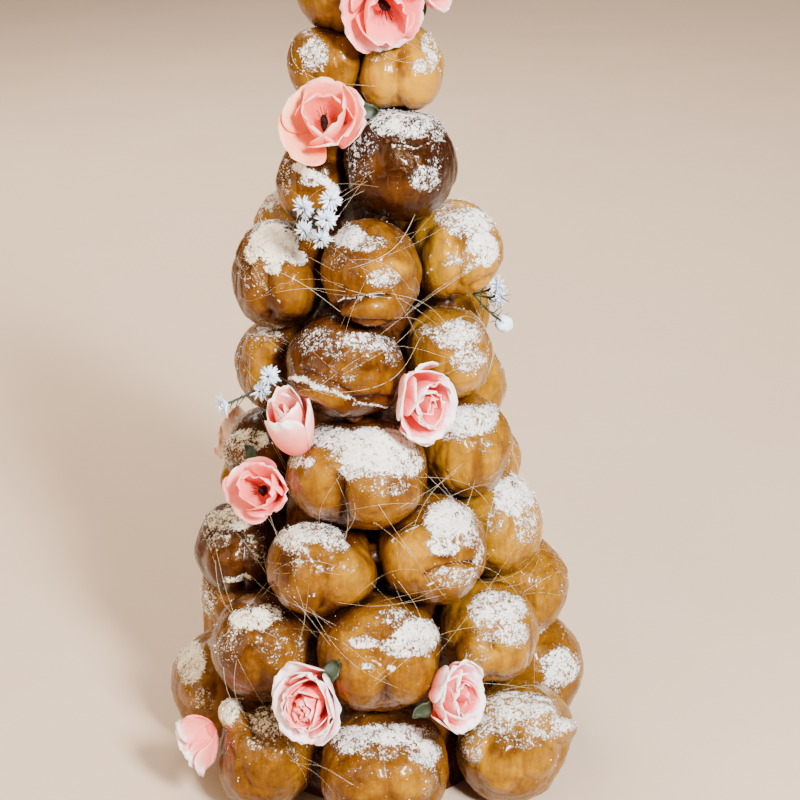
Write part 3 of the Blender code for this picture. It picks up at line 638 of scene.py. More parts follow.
def tube(path, radii, sides):
    """A closed tube along a path of points: its points and faces."""
    path = np.asarray(path)
    ahead = np.gradient(path, axis=0)
    ahead /= np.maximum(np.linalg.norm(ahead, axis=1, keepdims=True), 1e-12)
    guide = np.array([0.31, 0.17, 0.93])
    first = np.cross(ahead, guide)
    first /= np.maximum(np.linalg.norm(first, axis=1, keepdims=True), 1e-12)
    second = np.cross(ahead, first)
    turns = np.linspace(0, 2 * math.pi, sides, endpoint=False)
    ring = first[:, None] * np.cos(turns)[None, :, None] + second[:, None] * np.sin(turns)[None, :, None]
    points = (path[:, None] + ring * np.broadcast_to(radii, len(path))[:, None, None]).reshape(-1, 3)
    faces = []
    for row in range(len(path) - 1):
        for side in range(sides):
            beside = (side + 1) % sides
            here = row * sides
            faces.append((here + side, here + beside, here + sides + beside, here + sides + side))
    faces.append(tuple(range(sides - 1, -1, -1)))
    last = (len(path) - 1) * sides
    faces.append(tuple(range(last, last + sides)))
    return points, faces


# Materials.


class Graph:
    """A short way to write a material's nodes."""

    def __init__(self, name):
        self.material = bpy.data.materials.new(name)
        self.material.use_nodes = True
        self.tree = self.material.node_tree
        self.shader = self.tree.nodes["Principled BSDF"]
        coordinates = self.tree.nodes.new("ShaderNodeTexCoord")
        self.place = coordinates.outputs["Object"]

    def feed(self, socket, value):
        if hasattr(value, "is_output"):
            self.tree.links.new(value, socket)
        else:
            socket.default_value = value

    def node(self, kind, inputs, **settings):
        """A new node. Its inputs are fed by name or number, after its settings are made."""
        node = self.tree.nodes.new("ShaderNode" + kind)
        for name, value in settings.items():
            setattr(node, name, value)
        for key, value in inputs.items():
            self.feed(node.inputs[key], value)
        return node

    def attribute(self, name):
        return self.node("Attribute", {}, attribute_name=name).outputs["Fac"]

    def stretched(self, x, y, z):
        """The place with its axes scaled, which stretches a pattern along the small ones."""
        return self.node("Mapping", {"Vector": self.place, "Scale": (x, y, z)}).outputs["Vector"]

    def noise(self, size, detail=3, rough=0.55, distort=0.0, place=None):
        inputs = {"Vector": place or self.place, "Scale": 1 / size, "Detail": detail, "Roughness": rough}
        return self.node("TexNoise", {**inputs, "Distortion": distort}).outputs["Fac"]

    def crack_distance(self, size, place):
        """How far a place is from the edges of a pattern of cells."""
        inputs = {"Vector": place, "Scale": 1 / size}
        return self.node("TexVoronoi", inputs, feature="DISTANCE_TO_EDGE").outputs["Distance"]

    def math(self, operation, first, second):
        return self.node("Math", {0: first, 1: second}, operation=operation).outputs[0]

    def add_noise(self, value, noise, strength):
        """The value plus the noise about its middle, times a strength."""
        return self.math("ADD", value, self.math("MULTIPLY", self.math("SUBTRACT", noise, 0.5), strength))

    def remap(self, value, low, high, to_low=0.0, to_high=1.0):
        """A smooth step from one number to another as the value goes from low to high."""
        inputs = {"Value": value, "From Min": low, "From Max": high, "To Min": to_low, "To Max": to_high}
        return self.node("MapRange", inputs, interpolation_type="SMOOTHSTEP").outputs["Result"]

    def ramp(self, value, *stops):
        """The colour at a value, from stops of a place and a colour."""
        node = self.node("ValToRGB", {"Fac": value})
        elements = node.color_ramp.elements
        while len(elements) < len(stops):
            elements.new(0.5)
        for element, (place, colour) in zip(elements, stops):
            element.position = place
            element.color = (*colour, 1)
        return node.outputs["Color"]

    def mix(self, share, first, second, blend="MIX"):
        """A colour between two colours."""
        first, second = (value if hasattr(value, "is_output") else (*value, 1) for value in (first, second))
        inputs = {"Factor": share, 6: first, 7: second}
        return self.node("Mix", inputs, data_type="RGBA", blend_type=blend).outputs[2]

    def blend(self, share, first, second):
        """A plain number between two numbers."""
        return self.node("Mix", {"Factor": share, 2: first, 3: second}, data_type="FLOAT").outputs[0]

    def bump(self, height, distance, strength=1.0):
        inputs = {"Height": height, "Distance": distance, "Strength": strength}
        return self.node("Bump", inputs).outputs["Normal"]

    def set(self, **values):
        """Feeds the shader's inputs, by their names with _ for a space."""
        for name, value in values.items():
            self.feed(self.shader.inputs[name.replace("_", " ")], value)
        return self.material


PALE = (0.36, 0.165, 0.0040)
YELLOW = (0.235, 0.103, 0.0020)
HONEY = (0.130, 0.047, 0.0008)
BROWN = (0.050, 0.0130, 0.0004)
MAHOGANY = (0.017, 0.0036, 0.0004)
HAIR = (0.55, 0.36, 0.17)
SUGAR = (0.92, 0.90, 0.87)
# A creamy tint of painted warm light on the sugar.
PAINTED_WARM_LIGHT = (0.95, 0.80, 0.46)
SUGAR_SHADE = (0.74, 0.68, 0.60)
# The petals' colours from foot to rim.
ROSY = (
    (0.0, (0.62, 0.060, 0.055)), (0.38, (0.90, 0.135, 0.12)), (0.72, (0.95, 0.22, 0.20)),
    (0.92, (0.97, 0.40, 0.40)), (1.0, (0.98, 0.82, 0.83)),
)
PEACH = (
    (0.0, (0.66, 0.09, 0.03)), (0.38, (0.88, 0.19, 0.09)), (0.72, (0.94, 0.32, 0.17)),
    (0.93, (0.96, 0.50, 0.32)), (1.0, (0.98, 0.72, 0.56)),
)


def crust_colour(graph, patchy, fine, streaks):
    """Baked choux from pale to mahogany by the attribute tone, which also carries painted shade, with fine
    hairs of caramel.
    """
    shade = graph.add_noise(graph.attribute("tone"), patchy, 0.80)
    shade = graph.add_noise(shade, fine, 0.26)
    shade = graph.add_noise(shade, streaks, 0.34)
    crust = graph.ramp(shade, (0.0, PALE), (0.18, YELLOW), (0.42, HONEY), (0.72, BROWN), (1.0, MAHOGANY))
    hair_up = graph.noise(0.8 * MM, detail=2, place=graph.stretched(1, 1, 0.10))
    hair_across = graph.noise(0.8 * MM, detail=2, place=graph.stretched(0.12, 0.5, 1))
    hairs = graph.remap(graph.math("MAXIMUM", hair_up, hair_across), 0.64, 0.74, 0.0, 0.035)
    return graph.mix(hairs, crust, HAIR)


def icing_colour(graph):
    """Icing sugar, greyer in random patches of painted shade, and creamier where a mesh attribute paints warm
    light on it.
    """
    # Painted shade in random greyer patches.
    mottle = graph.remap(graph.noise(1.2 * MM, detail=4, rough=0.7), 0.34, 0.60)
    icing = graph.mix(mottle, SUGAR_SHADE, SUGAR)
    return graph.mix(graph.attribute("painted_warm_light"), icing, graph.mix(1.0, icing, PAINTED_WARM_LIGHT, "MULTIPLY"))


def choux_material():
    """Glazed crust, covered by grainy icing sugar as the attribute sugar says."""
    graph = Graph("glazed_choux")
    patchy = graph.noise(9 * MM, detail=4, distort=0.8)
    fine = graph.noise(1.9 * MM, detail=5, rough=0.62)
    streaks = graph.noise(1.4 * MM, detail=4, rough=0.6, place=graph.stretched(1, 1, 0.16))
    crust = crust_colour(graph, patchy, fine, streaks)

    grain = graph.noise(0.9 * MM, detail=4, rough=0.75)
    clump = graph.noise(2.6 * MM, detail=3, rough=0.65, distort=0.5)
    cracks = graph.crack_distance(2.4 * MM, graph.stretched(1, 1, 1.3))
    cracks = graph.remap(cracks, 0.0, 0.09, 0.30, 0.0)
    cover = graph.math("MULTIPLY", graph.attribute("sugar"), 0.92)
    veil = graph.add_noise(graph.add_noise(cover, clump, 1.2), fine, 0.8)
    crust = graph.mix(graph.remap(veil, -0.05, 0.80, 0.0, 0.020), crust, SUGAR_SHADE)
    cover = graph.add_noise(cover, clump, 1.7)
    cover = graph.add_noise(cover, grain, 2.6)
    cover = graph.remap(graph.math("SUBTRACT", cover, cracks), 0.42, 0.66)

    height = graph.math("MULTIPLY", patchy, 0.55)
    height = graph.add_noise(height, fine, 0.36)
    height = graph.add_noise(height, streaks, 0.26)
    height = graph.math("ADD", height, graph.math("MULTIPLY", cover, 0.35))
    height = graph.math("ADD", height, graph.math("MULTIPLY", graph.math("MULTIPLY", grain, cover), 1.1))
    gloss = graph.remap(graph.noise(5 * MM, detail=3), 0.3, 0.7, 0.14, 0.30)
    return graph.set(
        Base_Color=graph.mix(cover, crust, icing_colour(graph)),
        Roughness=graph.blend(cover, gloss, 0.95),
        Specular_IOR_Level=0.12,
        Specular_Tint=(1.0, 0.62, 0.30, 1.0),
        Coat_Weight=graph.blend(cover, 0.26, 0.0),
        Coat_IOR=1.38,
        Coat_Roughness=0.06,
        Normal=graph.bump(height, 0.8 * MM, 0.9),
    )


def caramel_material():
    """Dark glossy caramel with paler swirls."""
    graph = Graph("dark_caramel")
    swirl = graph.noise(6 * MM, detail=4, distort=1.0)
    colour = graph.ramp(swirl, (0.3, (0.014, 0.004, 0.001)), (0.7, (0.075, 0.020, 0.003)))
    return graph.set(
        Base_Color=colour,
        Roughness=graph.remap(swirl, 0.3, 0.7, 0.2, 0.36),
        Specular_IOR_Level=0.4,
        Normal=graph.bump(swirl, 0.8 * MM),
    )


def thread_material():
    """Clear spun sugar, from amber to nearly white."""
    graph = Graph("spun_sugar")
    colour = graph.ramp(graph.noise(14 * MM), (0.35, (0.80, 0.56, 0.26)), (0.65, (0.98, 0.92, 0.78)))
    return graph.set(Base_Color=colour, Roughness=0.25, Coat_Weight=0.5, Coat_Roughness=0.1)


def sugar_material():
    """Matt white lumps of icing sugar."""
    graph = Graph("icing_sugar")
    colour = graph.ramp(graph.noise(1.5 * MM), (0.3, (0.82, 0.80, 0.77)), (0.7, (0.92, 0.92, 0.91)))
    return graph.set(Base_Color=colour, Roughness=0.95, Normal=graph.bump(graph.noise(0.25 * MM), 0.1 * MM))


def petal_material():
    """Paper that is coral at the base of a petal and pale at its rim, with fine crinkles."""
    graph = Graph("petal_paper")
    along = graph.add_noise(graph.attribute("along"), graph.noise(3.5 * MM, detail=3), 0.35)
    crinkle = graph.noise(0.7 * MM, detail=4, rough=0.65)
    colour = graph.mix(graph.attribute("tint"), graph.ramp(along, *ROSY), graph.ramp(along, *PEACH))
    return graph.set(
        Base_Color=colour,
        Roughness=graph.remap(crinkle, 0.3, 0.7, 0.55, 0.75),
        Specular_IOR_Level=0.3,
        Subsurface_Weight=0.3,
        Subsurface_Radius=(1.0, 0.5, 0.4),
        Subsurface_Scale=1.2 * MM,
        Normal=graph.bump(crinkle, 0.25 * MM),
    )


def leaf_material():
    graph = Graph("leaf_green")
    patchy = graph.noise(2.5 * MM, detail=3)
    colour = graph.ramp(patchy, (0.3, (0.003, 0.010, 0.002)), (0.7, (0.012, 0.028, 0.005)))
    return graph.set(Base_Color=colour, Roughness=0.55, Normal=graph.bump(graph.noise(0.8 * MM), 0.2 * MM))


def heart_material():
    graph = Graph("dark_heart")
    colour = graph.ramp(graph.noise(0.8 * MM), (0.3, (0.004, 0.002, 0.002)), (0.7, (0.020, 0.006, 0.005)))
    return graph.set(Base_Color=colour, Roughness=0.8, Specular_IOR_Level=0.15,
                     Normal=graph.bump(graph.noise(0.4 * MM), 0.2 * MM))


def floret_material():
    graph = Graph("floret_white")
    colour = graph.ramp(graph.noise(1.6 * MM), (0.3, (0.56, 0.69, 0.88)), (0.7, (0.82, 0.91, 1.0)))
    return graph.set(Base_Color=colour, Roughness=0.75, Normal=graph.bump(graph.noise(0.5 * MM), 0.1 * MM))


# The puffs.


def corners_of(node):
    """A CAD node's corners, each once, in metres."""
    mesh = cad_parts[node].data
    points = np.empty(len(mesh.vertices) * 3, np.float32)
    mesh.vertices.foreach_get("co", points)
    return np.unique(np.round(points.reshape(-1, 3).astype(float), 6), axis=0)


PUFF_NODES = sorted(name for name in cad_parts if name.startswith("puff_"))
CORNERS = {name: corners_of(name) for name in PUFF_NODES}
CENTRES = {name: (corners.min(axis=0) + corners.max(axis=0)) / 2 for name, corners in CORNERS.items()}
RADII = {name: np.linalg.norm(CORNERS[name] - CENTRES[name], axis=1).mean() for name in PUFF_NODES}


def puff_directions(centre, segments, rings):
    """Unit vectors all round a puff, closest together on its dome."""
    level = np.array([centre[0], centre[1], 0.0])
    if np.linalg.norm(level) < 5 * MM:
        level = np.array([0.0, -1.0, 0.0])
    level /= np.linalg.norm(level)
    out = level * math.cos(DOME_TILT) + np.array([0, 0, math.sin(DOME_TILT)])
    right = np.cross([0, 0, 1.0], level)
    up = np.cross(out, right)
    dome = int(rings * DOME_SHARE)
    polar = np.concatenate([
        np.linspace(0, DOME_END, dome + 1)[1:],
        np.linspace(DOME_END, math.pi, rings - dome + 1)[1:-1],
    ])
    around = np.linspace(0, 2 * math.pi, segments, endpoint=False)
    theta, phi = (values.ravel() for values in np.meshgrid(polar, around, indexing="ij"))
    local = np.column_stack([np.sin(theta) * np.cos(phi), np.sin(theta) * np.sin(phi), np.cos(theta)])
    local = np.vstack([[0, 0, 1], local, [0, 0, -1]])
    return local @ np.vstack([right, up, out]), len(polar)


def ball_faces(segments, rows):
    """The faces of a ball whose first and last points are its poles."""
    faces = []
    last = rows * segments + 1
    base = 1 + (rows - 1) * segments
    for column in range(segments):
        beside = (column + 1) % segments
        faces.append((0, 1 + column, 1 + beside))
        faces.append((last, base + beside, base + column))
    for row in range(rows - 1):
        base = 1 + row * segments
        for column in range(segments):
            beside = (column + 1) % segments
            faces.append((base + column, base + segments + column, base + segments + beside, base + beside))
    return faces


def small_ball(segments, rings):
    """A plain ball's directions and faces."""
    directions, rows = puff_directions(np.zeros(3), segments, rings)
    return directions, ball_faces(segments, rows)


def rounded_radius(corners, centre, directions):
    """The CAD puff's radius in each direction, with its facets smoothed away."""
    spokes = corners - centre
    lengths = np.linalg.norm(spokes, axis=1)
    closeness = directions @ (spokes / lengths[:, None]).T
    weights = np.exp((closeness - 1) / ROUNDING ** 2)
    return weights @ lengths / weights.sum(axis=1)


def off_line(x, y, line):
    """How far places are from a line in the picture, in pixels."""
    start = np.array([line.x, line.y], float)
    run = np.array([line.end_x, line.end_y]) - start
    share = ((x - start[0]) * run[0] + (y - start[1]) * run[1]) / (run @ run)
    share = np.clip(share, 0, 1)
    bow = LINE_BOW * np.linalg.norm(run) * np.sin(math.pi * share)
    return np.hypot(x - start[0] - share * run[0], y - start[1] - share * run[1] + bow)


def off_oval(x, y, oval):
    """0 in the middle of an oval in the picture and 1 at its rim, squared."""
    return ((x - oval.x) / oval.half_width) ** 2 + ((y - oval.y) / oval.half_height) ** 2


def shown_relief(style, x, y):
    """What a puff's lobes and its lines add to its radius, in millimetres."""
    swell = np.zeros(len(x))
    for lobe in style.lobes:
        rise = np.clip(1 - off_oval(x, y, lobe), 0, 1) ** LOBE_ROUNDNESS
        swell = np.maximum(swell, LOBE_GAIN * lobe.swell * rise)
    folds = np.zeros(len(x))
    for line in style.lines:
        away = off_line(x, y, line) / line.half_width
        folds += LINE_GAIN * line.rise * np.exp(-away ** (GROOVE_SHAPE if line.rise < 0 else ROLL_SHAPE))
    return swell, folds


def shown_tone(style, x, y):
    """How much darker than the puff's tone its stains and painted shading are."""
    tone = np.zeros(len(x))
    for stain_and_shading in style.stains:
        tone += stain_and_shading.tone * (1 - rise_between(off_oval(x, y, stain_and_shading), 0.2, 1.7))
    return tone


def shown_sugar(style, x, y):
    """How thickly sugar lies where the photograph shows it: about 0.5 covers half."""
    cover = np.full(len(x), -0.5)
    for patch in style.sugar:
        away = off_oval(x, y, patch)
        thick = patch.cover * (1 - rise_between(away, 0.45, 1.5))
        cover = np.maximum(cover, thick - 0.25 * rise_between(away, 0.9, 2.2))
    for streak in style.streaks:
        away = off_line(x, y, streak) / streak.half_width
        cover = np.maximum(cover, streak.cover * 1.1 - 0.7 * away ** 2)
    return cover


def closeness_to_others(name, points):
    """1 where a puff touches another, falling to 0 within a few millimetres."""
    near = np.zeros(len(points))
    for other, centre in CENTRES.items():
        apart = np.linalg.norm(centre - CENTRES[name])
        if other != name and apart < 2.6 * RADII[name]:
            gap = np.linalg.norm(points - centre, axis=1) - RADII[other]
            near = np.maximum(near, np.exp(-np.clip(gap, 0, 1) / TOUCH_REACH))
    return near


def crust_relief(style, points, swell, creases, facing, shift):
    """How far a crust stands out from the CAD's form, in metres: lumps, folds, wrinkles and lobes."""
    lumps = noise(points, LUMP_SIZE, shift) + 0.45 * noise(points, SMALL_LUMP_SIZE, shift + 5)
    folds = 1 - np.abs(noise(points * (1, 1, 0.5), FOLD_SIZE, shift + 9))
    # A puff that the photograph shows has its own creases too, so its folds are shallower.
    fold_depth = 0.5 if facing.any() else 0.9
    lumps = lumps * (1 - 0.35 * facing) - fold_depth * folds ** 8
    wrinkles = 0.16 * noise(points, WRINKLE_SIZE, shift + 8)
    sunk = LOBE_SINK * max((lobe.swell for lobe in style.lobes), default=0)
    return MM * (lumps + wrinkles + (swell + creases - sunk) * facing)


def sugar_cover(style, points, x, y, skyward, facing, shift):
    """How thickly sugar lies: as the photograph shows it in front, and on what faces the sky behind."""
    loose = skyward + 0.30 * noise(points, 8 * MM, shift + 2) + 0.2 * noise(points, 3 * MM, shift + 3)
    fallen = np.clip(1.7 * (loose - 0.62) + 0.35, -0.5, 0.95)
    dusting = 0.34 * rise_between(skyward, 0.0, 0.9) - 0.25
    uneven = 0.22 * noise(points, 4 * MM, shift + 4)
    return np.maximum(shown_sugar(style, x, y) + uneven, dusting) * facing + fallen * (1 - facing)


def make_puff(name, number, material):
    """A choux puff in place of its plain solid. Gives back what the crumbs and threads need."""
    rng = np.random.default_rng(SEED * 100 + number)
    shown = name in FACES
    segments, rings = (FRONT_SEGMENTS, FRONT_RINGS) if shown else (BACK_SEGMENTS, BACK_RINGS)
    style = FACES[name] if shown else face(rng.uniform(0.1, 0.5))
    centre = CENTRES[name]
    directions, rows = puff_directions(centre, segments, rings)
    radius = rounded_radius(CORNERS[name], centre, directions)
    points = centre + directions * radius[:, None]
    shift = rng.uniform(0, 30)
    x, y = in_picture(points)
    to_camera = CAMERA_PLACE - centre
    facing = rise_between(directions @ to_camera / np.linalg.norm(to_camera), -0.45, 0.2) * shown

    near = closeness_to_others(name, points)
    outward = centre[:2] / max(np.linalg.norm(centre[:2]), 1e-6)
    skyward = directions[:, 2] + 0.25 * directions[:, :2] @ outward
    sugar = sugar_cover(style, points, x, y, skyward, facing, shift) - 0.2 * near

    swell, creases = shown_relief(style, x, y)
    # Painted shade: the crust is darker in its creases, between its lobes, on its underside and where puffs
    # touch.
    valley = (1 - rise_between(swell, 0, 1.5)) * facing * bool(style.lobes)
    crease_shade = 0.5 * rise_between(-creases, 0.2, 2.5) * facing + 0.12 * valley
    below = rise_between(-directions[:, 2], 0.2, 0.9)
    tone = style.tone + shown_tone(style, x, y) * facing + 0.32 * near ** 1.2 + crease_shade + 0.10 * below

    relief = crust_relief(style, points, swell, creases, facing, shift)
    grains = 0.8 + 0.6 * noise(points, 1.5 * MM, shift + 7)
    relief += SUGAR_HEIGHT * rise_between(sugar, 0.35, 0.75) * grains
    points = in_box(centre + directions * (radius + relief)[:, None])
    piece = new_piece("dressed_" + name, points, ball_faces(segments, rows), [material], node=name)
    set_attribute(piece, "tone", tone)
    set_attribute(piece, "sugar", sugar)
    # Painted warm light on the sugar: a little all round, and most to the left as the camera sees it.
    set_attribute(piece, "painted_warm_light", 0.12 + 0.50 * (1 - rise_between(x, WARM_LIGHT_FADE_START, WARM_LIGHT_FADE_END)) * facing)
    return piece, points, sugar, directions


def make_core(material):
    """The caramel inside the tower: the CAD core with runs and lumps of caramel in its side."""
    corners = corners_of("caramel_core")
    foot_radius = np.linalg.norm(corners[:, :2], axis=1).max()
    foot, tip = corners[:, 2].min(), corners[:, 2].max()
    tip_radius = np.linalg.norm(corners[corners[:, 2] > tip - MM][:, :2], axis=1).max()
    heights = np.linspace(foot, tip, CORE_ROWS)
    around = np.linspace(0, 2 * math.pi, CORE_SEGMENTS, endpoint=False)
    height, angle = (values.ravel() for values in np.meshgrid(heights, around, indexing="ij"))
    cone = foot_radius + (tip_radius - foot_radius) * (height - foot) / (tip - foot)
    points = np.column_stack([cone * np.cos(angle), cone * np.sin(angle), height])
    lumps = 0.5 + 0.5 * noise(points, 7 * MM) + 0.3 * noise(points, 2.5 * MM, 4)
    inset = 1 - np.clip(lumps, 0, 1) * CARAMEL_RELIEF / np.maximum(cone, 4 * MM)
    points[:, :2] *= np.where(height < foot + 0.1 * MM, 1, inset)[:, None]
    points = np.vstack([[0, 0, foot], points, [0, 0, tip]])
    faces = [tuple(reversed(one)) for one in ball_faces(CORE_SEGMENTS, CORE_ROWS)]
    return new_piece("dressed_core", points, faces, [material], node="caramel_core", slot="caramel")


def make_glue(material):
    """Beads of dark caramel where neighbouring puffs meet."""
    rng = np.random.default_rng(SEED + 1)
    shape = Shape()
    directions, faces = small_ball(14, 9)
    for index, name in enumerate(PUFF_NODES):
        for other in PUFF_NODES[index + 1:]:
            span = CENTRES[other] - CENTRES[name]
            apart = np.linalg.norm(span)
            if apart > GLUED_GAP * (RADII[name] + RADII[other]):
                continue
            middle = CENTRES[name] + span * RADII[name] / (RADII[name] + RADII[other])
            side = np.cross(span, rng.normal(size=3))
            side /= np.linalg.norm(side)
            reach = rng.uniform(*GLUE_REACH) * MM
            place = middle + side * reach - np.array([middle[0], middle[1], 0]) * 0.14
            size = rng.uniform(*GLUE_RADII) * MM
            ball = directions * size * (1, 1, 0.8)
            ball *= 1 + 0.25 * noise(ball + place, 4 * MM)[:, None]
            shape.add(place + ball, faces)
    return shape.piece("caramel_glue", [material], slot="caramel")


def make_crumbs(puffs, material):
    """Loose lumps of icing sugar lying on the puffs' sugar."""
    rng = np.random.default_rng(SEED + 2)
    shape = Shape()
    corners = np.array([(1, 0, 0), (0, 1, 0), (-1, 0, 0), (0, -1, 0), (0, 0, 1), (0, 0, -1)], float)
    faces = [(0, 1, 4), (1, 2, 4), (2, 3, 4), (3, 0, 4), (1, 0, 5), (2, 1, 5), (3, 2, 5), (0, 3, 5)]
    for _, points, sugar, directions in puffs:
        weight = np.clip(sugar - 0.25, 0, 0.6) + 0.012 * (sugar > -0.2)
        if weight.sum() <= 0:
            continue
        count = CRUMBS_A_PUFF if len(points) > 6000 else CRUMBS_A_PUFF // 3
        chosen = rng.choice(len(points), count, p=weight / weight.sum())
        for index in chosen:
            size = rng.uniform(*CRUMB_RADII) * (1 + 1.6 * rng.random() ** 5)
            crumb = corners * rng.uniform(0.6, 1.2, (6, 1)) * size
            crumb = crumb @ np.linalg.qr(rng.normal(size=(3, 3)))[0]
            drift = rng.normal(scale=CRUMB_DRIFT, size=3)
            shape.add(points[index] + drift + directions[index] * size * 0.2 + crumb, faces)
    return shape.piece("sugar_crumbs", [material], slot="choux", smooth=False)


# The flowers.


def placed(azimuth, reach, rise, turn=0, lift=0):
    """A frame on the tower: its columns are right, up, outwards and the place."""
    around = math.radians(azimuth)
    heading = math.radians(azimuth + turn)
    pitch = math.radians(lift)
    level = np.array([math.sin(heading), -math.cos(heading), 0])
    out = level * math.cos(pitch) + np.array([0, 0, math.sin(pitch)])
    right = np.array([math.cos(heading), math.sin(heading), 0])
    up = np.cross(out, right)
    place = np.array([reach * math.sin(around), -reach * math.cos(around), rise]) * MM
    return np.column_stack([right, up, out]), place


def petal_grid(ring, half, depth, rng):
    """One petal's grid of points, standing at the angle 0 round the flower's axis Z."""
    along = np.linspace(0, 1, PETAL_ROWS)
    side = np.linspace(-1, 1, PETAL_COLUMNS)
    # Its middle line bends from the foot's angle to the rim's, and then curls.
    length = ring.length * half * rng.uniform(0.90, 1.06)
    angle = ring.foot_angle + (ring.rim_angle - ring.foot_angle) * along ** 0.75
    angle = angle + rng.uniform(-8, 8)
    bend = np.radians(angle + ring.curl * np.clip((along - CURL_START) / (1 - CURL_START), 0, 1) ** 2)
    step = length / (PETAL_ROWS - 1)
    out = ring.start * half + np.concatenate([[0], np.cumsum(np.sin(bend[1:]) * step)])
    high = -depth + np.concatenate([[0], np.cumsum(np.cos(bend[1:]) * step)])
    # It widens to its waist and is round at its end, and its sides wrap round the flower.
    narrow = np.sin(along / PETAL_WAIST * math.pi / 2) ** 0.75
    rounded = np.sqrt(np.clip(1 - ((along - PETAL_WAIST) / 0.42) ** 2.6, 0.03, 1))
    shape = np.where(along < PETAL_WAIST, narrow, rounded)
    wide = ring.width * half * rng.uniform(0.92, 1.08) * np.maximum(shape, 0.16)
    radius = ring.cup * half
    turn = np.clip(side[None, :] * wide[:, None] / radius / 1.25, -CUP_LIMIT, CUP_LIMIT)
    # Its rim is ruffled in long waves and short ones.
    waves = rng.uniform(2, 4)
    phase = rng.uniform(0, 6)
    ruffle = 0.045 * half * along[:, None] ** 3 * np.sin(waves * side[None, :] * 2 + phase)
    ruffle = ruffle + 0.014 * half * along[:, None] ** 4 * np.sin(9 * side[None, :] + 2 * phase)
    inward = radius * (1 - np.cos(turn)) - ruffle
    grid = np.empty((PETAL_ROWS, PETAL_COLUMNS, 3))
    grid[..., 0] = out[:, None] - inward * np.cos(bend)[:, None]
    grid[..., 1] = radius * np.sin(turn)
    grid[..., 2] = high[:, None] + inward * np.sin(bend)[:, None]
    grid[-1, :, 2] += 0.035 * half * rng.uniform(-1, 1, PETAL_COLUMNS)
    return grid, along


def turned(points, angle):
    """Points turned about Z."""
    cos, sin = math.cos(angle), math.sin(angle)
    return points @ np.array([[cos, sin, 0], [-sin, cos, 0], [0, 0, 1]])


def leaf_grid(flower, half):
    """A thin folded wavy leaf beside the flower, in the CAD leaf's place."""
    along = np.linspace(0, 1, LEAF_ROWS)
    side = np.linspace(-1, 1, LEAF_COLUMNS)
    wide = LEAF_WIDTH / 2 * (0.06 + 0.94 * np.sin(math.pi * along ** 0.8).clip(0) ** 0.8)
    wide = wide * (1 + 0.07 * np.sin(along * 60))
    grid = np.empty((LEAF_ROWS, LEAF_COLUMNS, 3))
    grid[..., 0] = (0.55 * half + along * LEAF_LENGTH)[:, None]
    grid[..., 1] = wide[:, None] * side[None, :]
    fold = LEAF_FOLD * np.abs(side[None, :]) ** 1.4
    depth = 0.95 if flower.kind == "open" else 0.70
    grid[..., 2] = LEAF_WAVE * np.sin(6 * along)[:, None] - depth * half + fold
    return turned(grid.reshape(-1, 3), math.radians(flower.leaf)).reshape(grid.shape)


def flower_shaped(points, flower, half):
    """Points of petals round the axis Z, spun, tipped and stretched as the flower is."""
    points = turned(points, math.radians(flower.spin))
    nod = math.radians(flower.nod)
    cos, sin = math.cos(nod), math.sin(nod)
    share = abs(sin)
    across, up, out = points.T
    tipped = out * cos - up * sin
    tipped = tipped * (1 - NOD_FLATTENING * share) - NOD_SINK * half * share
    return np.column_stack([across, (up * cos + out * sin) * flower.tall, tipped])


def add_heart(shape, half, set_down, rng):
    """The dark middle of an open flower, with a few short stamens."""
    directions, faces = small_ball(14, 9)
    heart = directions * half * HEART_SIZES
    heart *= 1 + 0.3 * noise(heart, 1.2 * MM)[:, None]
    shape.add(set_down(heart + np.array([0, 0, -HEART_DEPTH * half])), faces, 2)
    for angle in np.linspace(0, 2 * math.pi, STAMENS, endpoint=False):
        tip = np.array([0.15 * math.cos(angle), 0.22 * math.sin(angle), -0.14]) * half * rng.uniform(0.7, 1.1)
        points, faces = tube(np.linspace(np.array([0, 0, -0.6 * half]), tip, 4), STAMEN_RADIUS, 4)
        shape.add(set_down(points), faces, 2)


def add_foot(shape, flower, half, set_down):
    """The round foot that the petals grow from."""
    directions, faces = small_ball(14, 9)
    foot = directions * half * FOOT_SIZES
    foot *= 1 + 0.1 * noise(foot, 2 * MM)[:, None]
    low = np.array([0, 0, FOOT_SIZES[2] - FOOT_DEPTH[flower.kind]]) * half
    shape.add(set_down(foot + low), faces, 0, 0.1, flower.peach)


